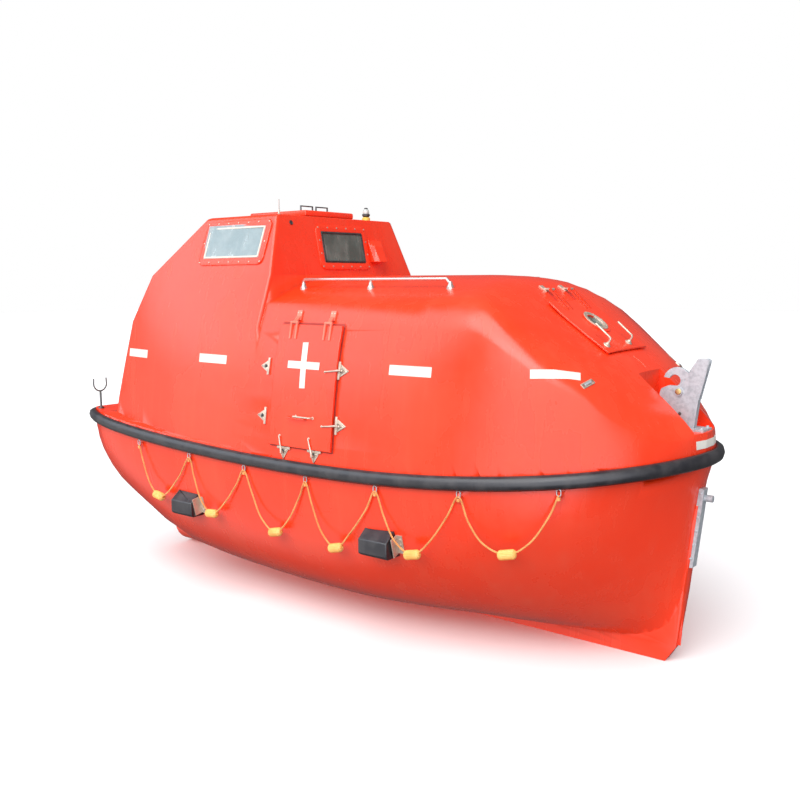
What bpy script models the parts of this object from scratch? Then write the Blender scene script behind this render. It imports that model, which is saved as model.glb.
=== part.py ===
# Totally enclosed lifeboat, 5.00 m long and 2.20 m in beam, moulded in fire-retardant GRP.
# X runs forward to the bow, Y to port and Z up. Heights in the tables are measured up
# from the underside of the keel; the empty called boat drops everything by DRAFT, so
# that the world origin lies on the centreline at the waterline.

import bpy
import bmesh
import math
import numpy as np
from mathutils import Vector

# Driving dimensions, in metres
DRAFT = 0.50
GAP = 0.0003             # left between pieces that touch
SEAL_GAP = 0.005         # between a closed hatch and the moulding, where its seal lies
HULL_WALL = 0.040
CANOPY_WALL = 0.030
KEEL_HALF = 0.040
SHEER_MID = 1.167        # height of the joint between hull and canopy amidships
SHEER_FORE = 0.029       # its rise forward, for each square metre of distance
SHEER_AFT = 0.022        # its rise aft
STEM_RAKE = 0.160        # how far the stem leans aft at the forefoot
FENDER_HEIGHT = 0.090
FENDER_DEPTH = 0.052

# Side doors
DOOR_AFT = -0.215
DOOR_FORE = 0.355
DOOR_FOOT = 1.300
DOOR_HEAD = 2.115
DOOR_THICK = 0.022
DOOR_LAP = 0.030         # how far a door covers the moulding round its opening
DOOR_HINGES = (-0.075, 0.235)
DOOR_SWING_Y = 0.962     # hinge line, out from the centreline
DOOR_SWING_Z = 2.137

# Bow hatch, on the front slope
BOW_HATCH_AFT = 1.490
BOW_HATCH_FORE = 1.905
BOW_HATCH_HALF = 0.285
BOW_HINGES = (-0.130, 0.130)
BOW_SWING_X = 1.440
BOW_SWING_Z = 2.352

# Tower and its roof hatch
TOWER_ROOF = 2.900
ROOF_HATCH_AFT = -1.215
ROOF_HATCH_FORE = -0.600
ROOF_HATCH_HALF = 0.280
ROOF_HATCH_TOP = 2.952
ROOF_HINGES = (-0.180, 0.180)
ROOF_SWING_X = -1.240
ROOF_SWING_Z = 2.925

# Windows in the tower. Extents along x, or half the width, then foot and head
SIDE_GLASS = (-1.205, -0.600, 2.590, 2.812)
FRONT_GLASS = (0.235, 2.558, 2.782)
AFT_GLASS = (0.260, 2.560, 2.800)
PANE_THICK = 0.008
PANE_GAP = 0.0009
PANE_LAP = 0.022

# Release hooks: the well in the bow, the deck aft, and the pin that a hook turns on
WELL_HALF = 0.170
WELL_FLOOR = 1.500
WELL_AFT = 2.060
AFT_DECK = 0.055         # top of the side and aft deck above the joint
RECESS_HALF = 0.160      # recess in the tower's aft face, round the aft hook
RECESS_FORE = -2.020
RECESS_TOP = 1.930
FORE_HOOK_X = 2.370
AFT_HOOK_X = -2.330
HOOK_PIN = (-0.109, 0.232)      # from the middle of the foot, towards midships and up
HOOK_PIN_RADIUS = 0.018
HOOK_HALF = 0.011        # half the thickness of a hook
CHEEK_INNER = 0.012      # the frame's two cheeks, out from the centreline
CHEEK_OUTER = 0.022

# Stern gear
SHAFT_HEIGHT = 0.210
NOZZLE_X = -2.300
NOZZLE_OUTER = 0.200
NOZZLE_INNER = 0.172
NOZZLE_LENGTH = 0.220
SKEG_END = -2.130

# Lifelines
ROPE = 0.0135
LUG_GAP = 0.0010         # between the rope and the face of a lug
FLOAT_HALF = 0.058       # half the length of a float
FLOAT_SWELL = 4.1        # its radius over the rope's
CURVE_STEPS = 12

# Hull sections. Columns: x at the joint, half breadth at the joint, height of the
# bottom at the centreline, fullness across, fullness upward
HULL = [
    (-2.500, 0.900, 0.585, 3.00, 2.00),
    (-2.480, 0.935, 0.575, 3.00, 2.00),
    (-2.420, 0.962, 0.545, 3.00, 2.00),
    (-2.300, 1.008, 0.475, 2.80, 2.10),
    (-2.000, 1.058, 0.330, 2.60, 2.20),
    (-1.500, 1.085, 0.140, 2.60, 2.40),
    (-1.000, 1.094, 0.095, 2.60, 2.40),
    (-0.400, 1.099, 0.075, 2.60, 2.50),
    (0.200, 1.100, 0.070, 2.55, 2.55),
    (0.700, 1.095, 0.070, 2.15, 2.40),
    (1.100, 1.070, 0.072, 1.80, 2.15),
    (1.450, 1.010, 0.073, 1.55, 2.00),
    (1.700, 0.943, 0.075, 1.35, 1.85),
    (1.950, 0.830, 0.085, 1.15, 1.65),
    (2.120, 0.700, 0.097, 1.02, 1.52),
    (2.250, 0.560, 0.107, 0.90, 1.43),
    (2.340, 0.420, 0.110, 0.82, 1.35),
    (2.410, 0.260, 0.110, 0.78, 1.30),
    (2.450, 0.120, 0.110, 0.78, 1.25),
    (2.462, 0.030, 0.110, 1.00, 1.20),
]
# Fore edge of the keel, up the stem. Columns: x, height
KEEL_FRONT = [(2.300, 0.105), (2.352, 0.480), (2.412, 1.040)]
# Canopy sections. Columns: x, height of the crown, half breadth and height of the knuckle,
# and how flat the roof is before it turns down to the knuckle
CANOPY = [
    (-0.620, 2.450, 0.875, 2.255, 2.0),
    (0.900, 2.450, 0.885, 2.262, 2.0),
    (1.100, 2.443, 0.886, 2.266, 2.2),
    (1.250, 2.420, 0.888, 2.263, 2.7),
    (1.400, 2.340, 0.888, 2.230, 3.0),
    (1.550, 2.215, 0.882, 2.130, 3.0),
    (1.700, 2.106, 0.862, 2.010, 3.0),
    (1.850, 2.002, 0.815, 1.894, 3.0),
    (2.000, 1.898, 0.745, 1.790, 3.0),
    (2.120, 1.794, 0.635, 1.655, 2.8),
    (2.250, 1.686, 0.510, 1.548, 2.5),
    (2.340, 1.613, 0.375, 1.493, 2.3),
    (2.410, 1.560, 0.220, 1.490, 2.0),
    (2.456, 1.535, 0.035, 1.505, 2.0),
]
# Tower levels. Columns: height, x and half breadth aft, x and half breadth forward, and how
# far the side bulges between the two
TOWER = [
    (1.000, -2.330, 0.905, -0.360, 1.088, 0.050),
    (1.450, -2.222, 0.890, -0.392, 1.060, 0.060),
    (1.750, -2.140, 0.872, -0.413, 1.016, 0.050),
    (2.095, -2.040, 0.850, -0.440, 0.966, 0.034),
    (2.460, -1.860, 0.775, -0.430, 0.836, 0.012),
    (TOWER_ROOF, -1.276, 0.664, -0.517, 0.664, 0.0),
]
# Lifeline on one side, by hand. Columns: x, distance from the centreline, height
LIFELINE = [
    (-1.665, 1.104, 1.145), (-1.625, 1.101, 1.010), (-1.560, 1.097, 0.850),
    (-1.455, 1.095, 0.760), (-1.345, 1.097, 0.800), (-1.190, 1.101, 0.950),
    (-1.062, 1.108, 1.108), (-1.010, 1.106, 0.960), (-0.945, 1.104, 0.800),
    (-0.830, 1.103, 0.715), (-0.700, 1.104, 0.800), (-0.550, 1.107, 0.970),
    (-0.462, 1.112, 1.088), (-0.385, 1.109, 0.930), (-0.300, 1.107, 0.765),
    (-0.165, 1.106, 0.685), (-0.030, 1.107, 0.800), (0.075, 1.109, 0.970),
    (0.137, 1.113, 1.084), (0.190, 1.110, 0.940), (0.270, 1.107, 0.760),
    (0.395, 1.106, 0.672), (0.520, 1.106, 0.790), (0.655, 1.106, 0.965),
    (0.735, 1.108, 1.100), (0.800, 1.103, 0.950), (0.880, 1.096, 0.800),
    (1.010, 1.085, 0.732), (1.130, 1.073, 0.830), (1.250, 1.061, 1.000),
    (1.330, 1.050, 1.138), (1.390, 1.034, 0.990), (1.480, 1.010, 0.865),
    (1.620, 0.970, 0.815), (1.750, 0.928, 0.900), (1.850, 0.893, 1.060),
    (1.906, 0.881, 1.195),
]
LUG_ROWS = range(0, len(LIFELINE), 6)
FLOAT_ROWS = range(3, len(LIFELINE), 6)


def faired(rows):
    """Put a section halfway between each two rows, on curves that never overshoot the rows."""
    table = np.array(rows)
    step = np.diff(table[:, :1], axis=0)
    rise = np.diff(table, axis=0) / step
    both = rise[:-1] * rise[1:]
    slope = np.vstack([rise[:1], np.zeros_like(both), rise[-1:]])
    np.divide(2 * both, rise[:-1] + rise[1:], out=slope[1:-1], where=both > 0)
    middle = (table[:-1] + table[1:]) / 2 + step * (slope[:-1] - slope[1:]) / 8
    return sorted(tuple(float(v) for v in row) for row in np.vstack([table, middle]))


HULL = faired(HULL)
CANOPY = faired(CANOPY)

for old in list(bpy.data.objects):
    bpy.data.objects.remove(old, do_unlink=True)

parts = bpy.data.collections.new("lifeboat")
cutters = bpy.data.collections.new("lifeboat_cutters")
bpy.context.scene.collection.children.link(parts)
bpy.context.scene.collection.children.link(cutters)

boat = bpy.data.objects.new("boat", None)
boat.location = (0, 0, -DRAFT)
parts.objects.link(boat)


# Materials


def finish(name, colour, roughness, metallic=0.0):
    mat = bpy.data.materials.new(name)
    mat.use_nodes = True
    shader = mat.node_tree.nodes["Principled BSDF"]
    shader.inputs["Base Color"].default_value = (*colour, 1)
    shader.inputs["Roughness"].default_value = roughness
    shader.inputs["Metallic"].default_value = metallic
    return mat


GELCOAT = finish("orange_gelcoat", (0.86, 0.07, 0.02), 0.25)
GELCOAT_IN = finish("pale_inner_gelcoat", (0.80, 0.78, 0.72), 0.45)
RUBBER = finish("black_rubber", (0.03, 0.03, 0.035), 0.6)
GALVANISED = finish("galvanised_steel", (0.55, 0.57, 0.58), 0.5, 0.9)
STAINLESS = finish("stainless_steel", (0.75, 0.74, 0.72), 0.25, 1.0)
GLAZING = finish("window_glass", (0.35, 0.45, 0.48), 0.08)
BRONZE = finish("bronze", (0.55, 0.36, 0.14), 0.35, 1.0)
LINE = finish("orange_rope", (0.95, 0.40, 0.05), 0.85)
ENGINE_PAINT = finish("grey_engine_paint", (0.30, 0.33, 0.34), 0.5)
CUSHION = finish("seat_foam_cover", (0.75, 0.25, 0.08), 0.7)
LAMP = finish("lamp_plastic", (0.75, 0.60, 0.10), 0.4)


# Modelling helpers


def place(obj, mat, collection=parts):
    """Carry an object in boat coordinates on the empty, and give it its material."""
    for other in list(obj.users_collection):
        other.objects.unlink(obj)
    collection.objects.link(obj)
    obj.parent = boat
    if mat is not None:
        obj.data.materials.clear()
        obj.data.materials.append(mat)
    if collection is cutters:
        obj.hide_render = True
        obj.display_type = "WIRE"
    return obj


def mesh_object(name, bm, mat=None, collection=parts):
    bmesh.ops.recalc_face_normals(bm, faces=bm.faces)
    mesh = bpy.data.meshes.new(name)
    bm.to_mesh(mesh)
    bm.free()
    return place(bpy.data.objects.new(name, mesh), mat, collection)


def skin(name, rings, mat=None, collection=parts, loop=False, split=False):
    """Loft rings of equally many points; the ends are capped unless the rings loop.

    A twisted skin that other pieces are fitted to is split into triangles, so that all of
    them follow the same surface."""
    bm = bmesh.new()
    rows = [[bm.verts.new(p) for p in ring] for ring in rings]
    count = len(rows[0])
    pairs = list(zip(rows, rows[1:]))
    if loop:
        pairs.append((rows[-1], rows[0]))
    for a, b in pairs:
        for i in range(count):
            j = (i + 1) % count
            if split:
                bm.faces.new((a[i], a[j], b[j]))
                bm.faces.new((a[i], b[j], b[i]))
            else:
                bm.faces.new((a[i], a[j], b[j], b[i]))
    if not loop:
        for row in (rows[0], rows[-1]):
            cap(bm, row, split)
    return mesh_object(name, bm, mat, collection)


def cap(bm, row, split):
    """Close an end with one face, or with strips between mirrored points."""
    if not split:
        bm.faces.new(row)
        return
    last = len(row) - 1
    for i in range(len(row) // 2):
        if i + 1 < last - i - 1:
            bm.faces.new((row[i], row[i + 1], row[last - i - 1], row[last - i]))
        elif i + 1 == last - i - 1:
            bm.faces.new((row[i], row[i + 1], row[last - i]))


def box(name, low, high, mat=None, collection=parts):
    bm = bmesh.new()
    bmesh.ops.create_cube(bm, size=1.0)
    size = Vector(high) - Vector(low)
    bmesh.ops.scale(bm, vec=size, verts=bm.verts)
    bmesh.ops.translate(bm, vec=(Vector(low) + Vector(high)) / 2, verts=bm.verts)
    return mesh_object(name, bm, mat, collection)


def rod(name, start, end, radius, mat=None, collection=parts, sides=16, end_radius=None):
    """A round bar, or a cone frustum, from one point to another."""
    start, end = Vector(start), Vector(end)
    way = end - start
    bm = bmesh.new()
    bmesh.ops.create_cone(bm, cap_ends=True, segments=sides, radius1=radius,
                          radius2=radius if end_radius is None else end_radius,
                          depth=way.length)
    turn = Vector((0, 0, 1)).rotation_difference(way).to_matrix()
    bmesh.ops.rotate(bm, cent=(0, 0, 0), matrix=turn, verts=bm.verts)
    bmesh.ops.translate(bm, vec=(start + end) / 2, verts=bm.verts)
    return mesh_object(name, bm, mat, collection)


def plate(name, outline, low, high, mat=None, collection=parts, hole=None):
    """A flat plate cut to an outline in x and z, from y low to y high."""
    curve = bpy.data.curves.new(name, "CURVE")
    curve.dimensions = "2D"
    curve.fill_mode = "BOTH"
    curve.extrude = (high - low) / 2
    for points in [outline] + ([hole] if hole else []):
        spline = curve.splines.new("POLY")
        spline.points.add(len(points) - 1)
        for point, (x, z) in zip(spline.points, points):
            point.co = (x, z, 0, 1)
        spline.use_cyclic_u = True
    obj = bpy.data.objects.new(name, curve)
    obj.rotation_euler = (math.radians(90), 0, 0)
    obj.location = (0, (low + high) / 2, 0)
    return solid(obj, mat, collection)


def tube(name, points, radius, mat=None, collection=parts, swell=None):
    """A round bar bent along a list of points; swell scales its radius point by point."""
    curve = bpy.data.curves.new(name, "CURVE")
    curve.dimensions = "3D"
    curve.bevel_depth = radius
    curve.bevel_resolution = 2
    curve.use_fill_caps = True
    spline = curve.splines.new("POLY")
    spline.points.add(len(points) - 1)
    for i, co in enumerate(points):
        spline.points[i].co = (*co, 1)
        spline.points[i].radius = swell[i] if swell else 1.0
    return solid(bpy.data.objects.new(name, curve), mat, collection)


def solid(curve_object, mat, collection):
    """Turn a curve into a mesh with its caps welded on."""
    bpy.context.scene.collection.objects.link(curve_object)
    bpy.context.view_layer.update()
    graph = bpy.context.evaluated_depsgraph_get()
    mesh = bpy.data.meshes.new_from_object(curve_object.evaluated_get(graph))
    mesh.transform(curve_object.matrix_world)
    name = curve_object.name
    data = curve_object.data
    bpy.data.objects.remove(curve_object, do_unlink=True)
    bpy.data.curves.remove(data)
    bm = bmesh.new()
    bm.from_mesh(mesh)
    bpy.data.meshes.remove(mesh)
    bmesh.ops.remove_doubles(bm, verts=bm.verts, dist=0.00001)
    bmesh.ops.triangulate(bm, faces=bm.faces)
    return mesh_object(name, bm, mat, collection)


def boolean(target, tools, operation):
    for tool in tools:
        mod = target.modifiers.new(operation.lower(), "BOOLEAN")
        mod.operation = operation
        mod.solver = "EXACT"
        mod.object = tool
    return target


def round_edges(obj, width, segments=2, angle=30):
    mod = obj.modifiers.new("round", "BEVEL")
    mod.width = width
    mod.segments = segments
    mod.limit_method = "ANGLE"
    mod.angle_limit = math.radians(angle)
    return obj


def turned(name, profile, mat, collection=parts, steps=32):
    """Turn a closed profile of (radius, height) about Z with a Screw modifier."""
    mesh = bpy.data.meshes.new(name)
    count = len(profile)
    mesh.from_pydata([(r, 0, h) for r, h in profile],
                     [(i, (i + 1) % count) for i in range(count)], [])
    obj = place(bpy.data.objects.new(name, mesh), mat, collection)
    mod = obj.modifiers.new("turn", "SCREW")
    mod.steps = steps
    mod.render_steps = steps
    mod.use_merge_vertices = True
    mod.merge_threshold = 0.0001
    mod.use_smooth_shade = True
    return obj


def hang_on(obj, point):
    """Put a moving piece's origin on its axis and leave its shape where it is."""
    obj.data.transform(obj.matrix_basis)
    obj.matrix_basis.identity()
    shift = Vector(point)
    for vert in obj.data.vertices:
        vert.co -= shift
    obj.location = shift
    return obj


def smooth(obj, angle=35):
    obj.data.shade_smooth()
    obj.data.set_sharp_from_angle(angle=math.radians(angle))
    return obj


# Lines of the hull and canopy


def hull_column(x, column):
    return float(np.interp(x, [row[0] for row in HULL], [row[column] for row in HULL]))


def canopy_column(x, column):
    return float(np.interp(x, [row[0] for row in CANOPY], [row[column] for row in CANOPY]))


def sheer_at(x):
    return SHEER_MID + (SHEER_FORE if x > 0 else SHEER_AFT) * x * x


def sheer(x):
    """Height of the joint, straight between the hull's sections."""
    stations = [row[0] for row in HULL]
    return float(np.interp(x, stations, [sheer_at(s) for s in stations]))


def half(x):
    return hull_column(x, 1)


def hull_ring(x, wall=0.0, lift=0.0, points=11):
    """One section from the port rim under the keel to the starboard rim, and back."""
    top = sheer(x)
    breadth, bottom = half(x) - wall, hull_column(x, 2) + wall
    across, upward = hull_column(x, 3), hull_column(x, 4)
    lean = max(0.0, (x - 1.7) / 0.8) ** 1.5
    side = []
    for i in range(points + 1):
        depth = math.sin(math.radians(90) * i / points)
        z = top - depth * (top - bottom)
        y = breadth * max(0.0, 1 - depth ** upward) ** (1 / across)
        aft = STEM_RAKE * lean * max(0.0, 1 - z / top) ** 0.6
        side.append((x - aft, y, z))
    side[0] = (x, breadth, top + lift)
    return side + [(px, -py, pz) for px, py, pz in side[-2::-1]]


def side_breadth(x, z, wall=0.0):
    """Half breadth of the canopy's side at a height."""
    foot, knuckle = half(x) - 0.004, canopy_column(x, 2)
    low, high = sheer(x), canopy_column(x, 3)
    s = min(max((z - low) / (high - low), 0.0), 1.0)
    return foot + (knuckle - foot) * (0.6 * s + 0.4 * s ** 4) - wall


def roof_height(x, y):
    """Height of the canopy's top at a point between the knuckles."""
    crown, breadth, knuckle, flatness = (canopy_column(x, c) for c in (1, 2, 3, 4))
    return crown - (crown - knuckle) * min(abs(y) / breadth, 1.0) ** flatness


def canopy_ring(x, wall=0.0, sides=7, roof=6):
    base = 1.0 if not wall else 0.9
    low, breadth, high = sheer(x), canopy_column(x, 2), canopy_column(x, 3) - wall
    ring = [(x, half(x) - 0.004 - wall, base)]
    for i in range(sides + 1):
        z = low + (high - low) * i / sides
        ring.append((x, side_breadth(x, z + (wall if i else 0.0), wall), z))
    for i in range(1, roof + 1):
        y = (breadth - wall) * (1 - i / roof)
        ring.append((x, y, roof_height(x, y) - wall))
    return ring + [(px, -py, pz) for px, py, pz in ring[-2::-1]]


def tower_ring(level, wall=0.0, sides=4):
    z, aft, half_aft, fore, half_fore, bulge = level
    aft, fore = aft + wall, fore - wall
    half_aft, half_fore = half_aft - wall, half_fore - wall
    z = z - wall if z == TOWER_ROOF else z - wall * 0.3
    side = []
    for i in range(sides + 1):
        t = i / sides
        y = half_aft + (half_fore - half_aft) * t + bulge * 4 * t * (1 - t)
        side.append((aft + (fore - aft) * t, y, z))
    return side + [(x, -y, z) for x, y, z in side[::-1]]


# Mouldings


def make_hull():
    """Hull moulding with its keel and skeg, open at the top."""
    hull = skin("hull", [hull_ring(row[0]) for row in HULL], GELCOAT, split=True)
    keel = plate("keel_blank", [
        (SKEG_END, 0.0), (2.235, 0.0), *KEEL_FRONT, (2.30, KEEL_FRONT[-1][1]), (2.20, 0.45),
        (1.90, 0.20), (-1.30, 0.20), (-1.90, 0.50), (SKEG_END, 0.50),
    ], -KEEL_HALF, KEEL_HALF, collection=cutters)
    boss = rod("stock_boss", (NOZZLE_X, 0, 0.450), (NOZZLE_X, 0, 0.520), 0.036, collection=cutters)
    lugs = []
    for row in LUG_ROWS:
        x, y, z = LIFELINE[row]
        for side in (1, -1):
            face = y - ROPE / 2 - LUG_GAP
            before, after = LIFELINE[max(row - 1, 0)], LIFELINE[min(row + 1, len(LIFELINE) - 1)]
            slope = (after[1] - before[1]) / (after[0] - before[0])
            lugs.append(skin("lug_blank", [
                [(x + dx, side * (face + slope * dx), z - 0.011), (x + dx, side * (face + slope * dx), z + 0.018),
                 (x + dx, side * (face - 0.075), z + 0.018), (x + dx, side * (face - 0.075), z - 0.011)]
                for dx in (-0.014, 0.014)], collection=cutters))
    inner = hull_inside("hull_inside", 0.0)
    bore = rod("shaft_bore", (SKEG_END - 0.05, 0, SHAFT_HEIGHT), (-1.55, 0, SHAFT_HEIGHT), 0.0306,
               collection=cutters, sides=32)
    boolean(hull, [keel, boss] + lugs, "UNION")
    boolean(hull, [inner, bore], "DIFFERENCE")
    return smooth(hull)


def hull_outside(name):
    """The hull's outer form, grown by the gap, to cut the backs of pieces fixed to it."""
    rings = [hull_ring(row[0], -GAP) for row in HULL]
    rings[0] = [(x - GAP, y, z) for x, y, z in rings[0]]
    rings[-1] = [(x + 2 * GAP, y, z) for x, y, z in rings[-1]]
    return skin(name, rings, collection=cutters, split=True)


def canopy_outside(name):
    """The forward canopy's outer form, grown by the gap."""
    return skin(name, [canopy_ring(row[0], -GAP) for row in CANOPY], collection=cutters, split=True)


def tower_outside(name):
    """The tower's outer form, grown enough to clear its rounded corners' blends."""
    rings = [tower_ring(level, -PANE_GAP) for level in TOWER]
    return skin(name, rings, collection=cutters, split=True)


def deck_outside(name):
    """The aft deck's top face, raised by the gap."""
    stations = [row[0] for row in HULL if row[0] <= -0.4]
    top = AFT_DECK + GAP
    return skin(name, [[(x, 1.2, 1.0), (x, 1.2, sheer(x) + top), (x, -1.2, sheer(x) + top), (x, -1.2, 1.0)]
                       for x in stations], collection=cutters)


def hull_inside(name, margin):
    """The space inside the hull moulding, less a margin for pieces that rest on it."""
    stations = [-2.46, -2.30, -2.0, -1.5, -1.0, -0.4, 0.2, 0.7, 1.1, 1.45, 1.7, 1.95, 2.14]
    return skin(name, [hull_ring(x, HULL_WALL + margin, 0.10) for x in stations], collection=cutters, split=True)


def slope_point(x, y, lift):
    """A point at a distance off the canopy's top, along its normal."""
    step = 0.01
    run = (roof_height(x + step, y) - roof_height(x - step, y)) / (2 * step)
    tilt = (roof_height(x, y + step) - roof_height(x, y - step)) / (2 * step)
    normal = Vector((-run, -tilt, 1)).normalized()
    return Vector((x, y, roof_height(x, y))) + normal * lift


def side_point(x, z, lift, side):
    """A point at a distance off the canopy's side, along its normal."""
    step = 0.01
    lean = (side_breadth(x, z + step) - side_breadth(x, z - step)) / (2 * step)
    taper = (side_breadth(x + step, z) - side_breadth(x - step, z)) / (2 * step)
    normal = Vector((-taper, 1, -lean)).normalized()
    point = Vector((x, side_breadth(x, z), z)) + normal * lift
    return Vector((point.x, side * point.y, point.z))


def shell_panel(name, us, vs, surface, inner, outer, mat=None, collection=parts):
    """A panel that follows a curved surface, between two distances from it."""
    rings = []
    for u in us:
        rings.append([surface(u, v, inner) for v in vs] + [surface(u, v, outer) for v in vs[::-1]])
    return skin(name, rings, mat, collection)


def door_cutter(side):
    low, high = DOOR_FOOT + DOOR_LAP, DOOR_HEAD - DOOR_LAP
    return shell_panel("door_opening", np.linspace(DOOR_AFT + DOOR_LAP, DOOR_FORE - DOOR_LAP, 3),
                       np.linspace(low, high, 5), lambda x, z, lift: side_point(x, z, lift, side),
                       -0.09, 0.06, collection=cutters)


def tower_side_y(x, z):
    """Half breadth of the tower above its bend."""
    low, high = TOWER[-2], TOWER[-1]
    t = (z - low[0]) / (high[0] - low[0])
    aft, half_aft, fore, half_fore, bulge = [a + (b - a) * t for a, b in zip(low[1:], high[1:])]
    s = (x - aft) / (fore - aft)
    return half_aft + (half_fore - half_aft) * s + bulge * 4 * s * (1 - s)


def tower_end_x(z, column):
    low, high = TOWER[-2], TOWER[-1]
    return low[column] + (high[column] - low[column]) * (z - low[0]) / (high[0] - low[0])


def flat_panel(name, corners, normal, inner, outer, mat=None, collection=parts):
    normal = Vector(normal).normalized()
    rings = [[Vector(c) + normal * lift for c in corners] for lift in (inner, outer)]
    return skin(name, rings, mat, collection)


def window_places():
    """Corners and outward normal of each window's clear opening."""
    places = {}
    aft, fore, low_z, high_z = SIDE_GLASS
    for name, side in (("starboard", -1), ("port", 1)):
        corners = [Vector((x, side * tower_side_y(x, z), z)) for x, z in
                   ((aft, low_z), (fore, low_z), (fore, high_z), (aft, high_z))]
        normal = (corners[2] - corners[0]).cross(corners[3] - corners[1]) * -side
        places[name] = (corners, normal)
    for name, column, (wide, low_z, high_z), way in (("front", 3, FRONT_GLASS, 1), ("aft", 1, AFT_GLASS, -1)):
        foot, head = tower_end_x(low_z, column), tower_end_x(high_z, column)
        corners = [(foot, -wide, low_z), (foot, wide, low_z), (head, wide, high_z), (head, -wide, high_z)]
        places[name] = (corners, (way * (high_z - low_z), 0, way * (foot - head)))
    return places


def grown(corners, lap):
    """Move the corners of a panel outward in its own plane."""
    points = [Vector(c) for c in corners]
    across = (points[1] - points[0]).normalized()
    up = (points[3] - points[0]).normalized()
    signs = ((-1, -1), (1, -1), (1, 1), (-1, 1))
    return [p + across * lap * a + up * lap * b for p, (a, b) in zip(points, signs)]


def make_canopy():
    """Canopy, tower and decks: one moulding that closes the hull."""
    canopy = skin("canopy", [tower_ring(level) for level in TOWER], GELCOAT, split=True)
    round_edges(canopy, 0.025, 2)
    fore = skin("canopy_fore", [canopy_ring(row[0]) for row in CANOPY], collection=cutters, split=True)
    deck_x = [row[0] for row in HULL if row[0] <= -0.4] + [-0.20]
    deck = skin("side_deck", [[(x, half(x) - 0.004, 1.0), (x, half(x) - 0.004, sheer(x) + AFT_DECK),
                               (x, -half(x) + 0.004, sheer(x) + AFT_DECK), (x, -half(x) + 0.004, 1.0)]
                              for x in deck_x], collection=cutters)
    tower_in = skin("tower_inside", [tower_ring((0.80,) + TOWER[0][1:], CANOPY_WALL)]
                    + [tower_ring(level, CANOPY_WALL) for level in TOWER[1:]], collection=cutters, split=True)
    recess_wall = box("recess_wall", (-2.6, -RECESS_HALF - CANOPY_WALL, 0.7),
                      (RECESS_FORE + CANOPY_WALL, RECESS_HALF + CANOPY_WALL, RECESS_TOP + CANOPY_WALL),
                      collection=cutters)
    boolean(tower_in, [recess_wall], "DIFFERENCE")
    recess = box("hook_recess", (-2.6, -RECESS_HALF, sheer(-2.3) + AFT_DECK - 0.0005),
                 (RECESS_FORE, RECESS_HALF, RECESS_TOP), collection=cutters)
    fore_in_x = [-0.58] + [row[0] for row in CANOPY if 0 < row[0] < 2.0]
    fore_in = skin("canopy_inside", [canopy_ring(x, CANOPY_WALL) for x in fore_in_x], collection=cutters)
    below = skin("joint_cut", [[(x, 1.3, 0.5), (x, 1.3, sheer(x) + GAP), (x, -1.3, sheer(x) + GAP),
                                (x, -1.3, 0.5)]
                               for x in [-2.7] + [row[0] for row in HULL] + [2.7]], collection=cutters)
    well = skin("hook_well", [[(x, -WELL_HALF, WELL_FLOOR), (x, WELL_HALF, WELL_FLOOR),
                               (x, WELL_HALF, 2.3), (x, -WELL_HALF, 2.3)] for x in (WELL_AFT, 2.7)],
                collection=cutters)
    bow_hole = shell_panel("bow_hatch_opening", np.linspace(BOW_HATCH_AFT + 0.03, BOW_HATCH_FORE - 0.03, 4),
                           np.linspace(-BOW_HATCH_HALF + 0.03, BOW_HATCH_HALF - 0.03, 3), slope_point,
                           -0.09, 0.08, collection=cutters)
    roof_hole = box("roof_hatch_opening", (ROOF_HATCH_AFT + 0.04, -ROOF_HATCH_HALF + 0.04, 2.8),
                    (ROOF_HATCH_FORE - 0.04, ROOF_HATCH_HALF - 0.04, 3.0), collection=cutters)
    panes = [flat_panel("window_opening", corners, normal, -0.10, 0.06, collection=cutters)
             for corners, normal in window_places().values()]
    boolean(canopy, [recess], "DIFFERENCE")
    boolean(canopy, [deck, fore], "UNION")
    boolean(canopy, [tower_in, fore_in, below, well, bow_hole, roof_hole, door_cutter(1), door_cutter(-1)]
            + panes, "DIFFERENCE")
    return smooth(canopy)


def make_panes():
    for name, (corners, normal) in window_places().items():
        pane = flat_panel("window_" + name, grown(corners, PANE_LAP), normal, -PANE_THICK, PANE_THICK, GLAZING)
        boolean(pane, [tower_outside("pane_seat")], "DIFFERENCE")


def plan_path():
    """The joint's outline seen from above, all the way round, with outward directions."""
    port = [(row[0], row[1]) for row in HULL]
    loop = [Vector(p) for p in port + [(x, -y) for x, y in port[::-1]]]
    path = []
    for i, point in enumerate(loop):
        before, after = (point - loop[i - 1]).normalized(), (loop[(i + 1) % len(loop)] - point).normalized()
        out_a, out_b = Vector((-before.y, before.x)), Vector((-after.y, after.x))
        middle = (out_a + out_b).normalized()
        path.append((point, middle / middle.dot(out_a)))
    return path


def make_fender():
    """Rubber fender of D section, all the way round the joint."""
    profile = [(0, -0.93), (0.45, -1), (0.85, -0.66), (1, 0), (0.85, 0.66), (0.45, 1), (0, 0.93)]
    rings = []
    for point, out in plan_path():
        ring = []
        for depth, rise in profile:
            spot = point + out * (GAP + depth * FENDER_DEPTH)
            ring.append((spot.x, spot.y, sheer(point.x) + rise * FENDER_HEIGHT / 2))
        rings.append(ring)
    return smooth(skin("fender", rings, RUBBER, loop=True), 50)


# Hatches and their hinges


def moving_barrels(name, pin, along):
    """The moving half's two barrels, one on each side of the fixed one."""
    pin, along = Vector(pin), Vector(along).normalized()
    return [rod(name, pin + along * s * (0.018 + GAP), pin + along * s * 0.034, 0.009, collection=cutters, sides=12)
            for s in (1, -1)]


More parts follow.
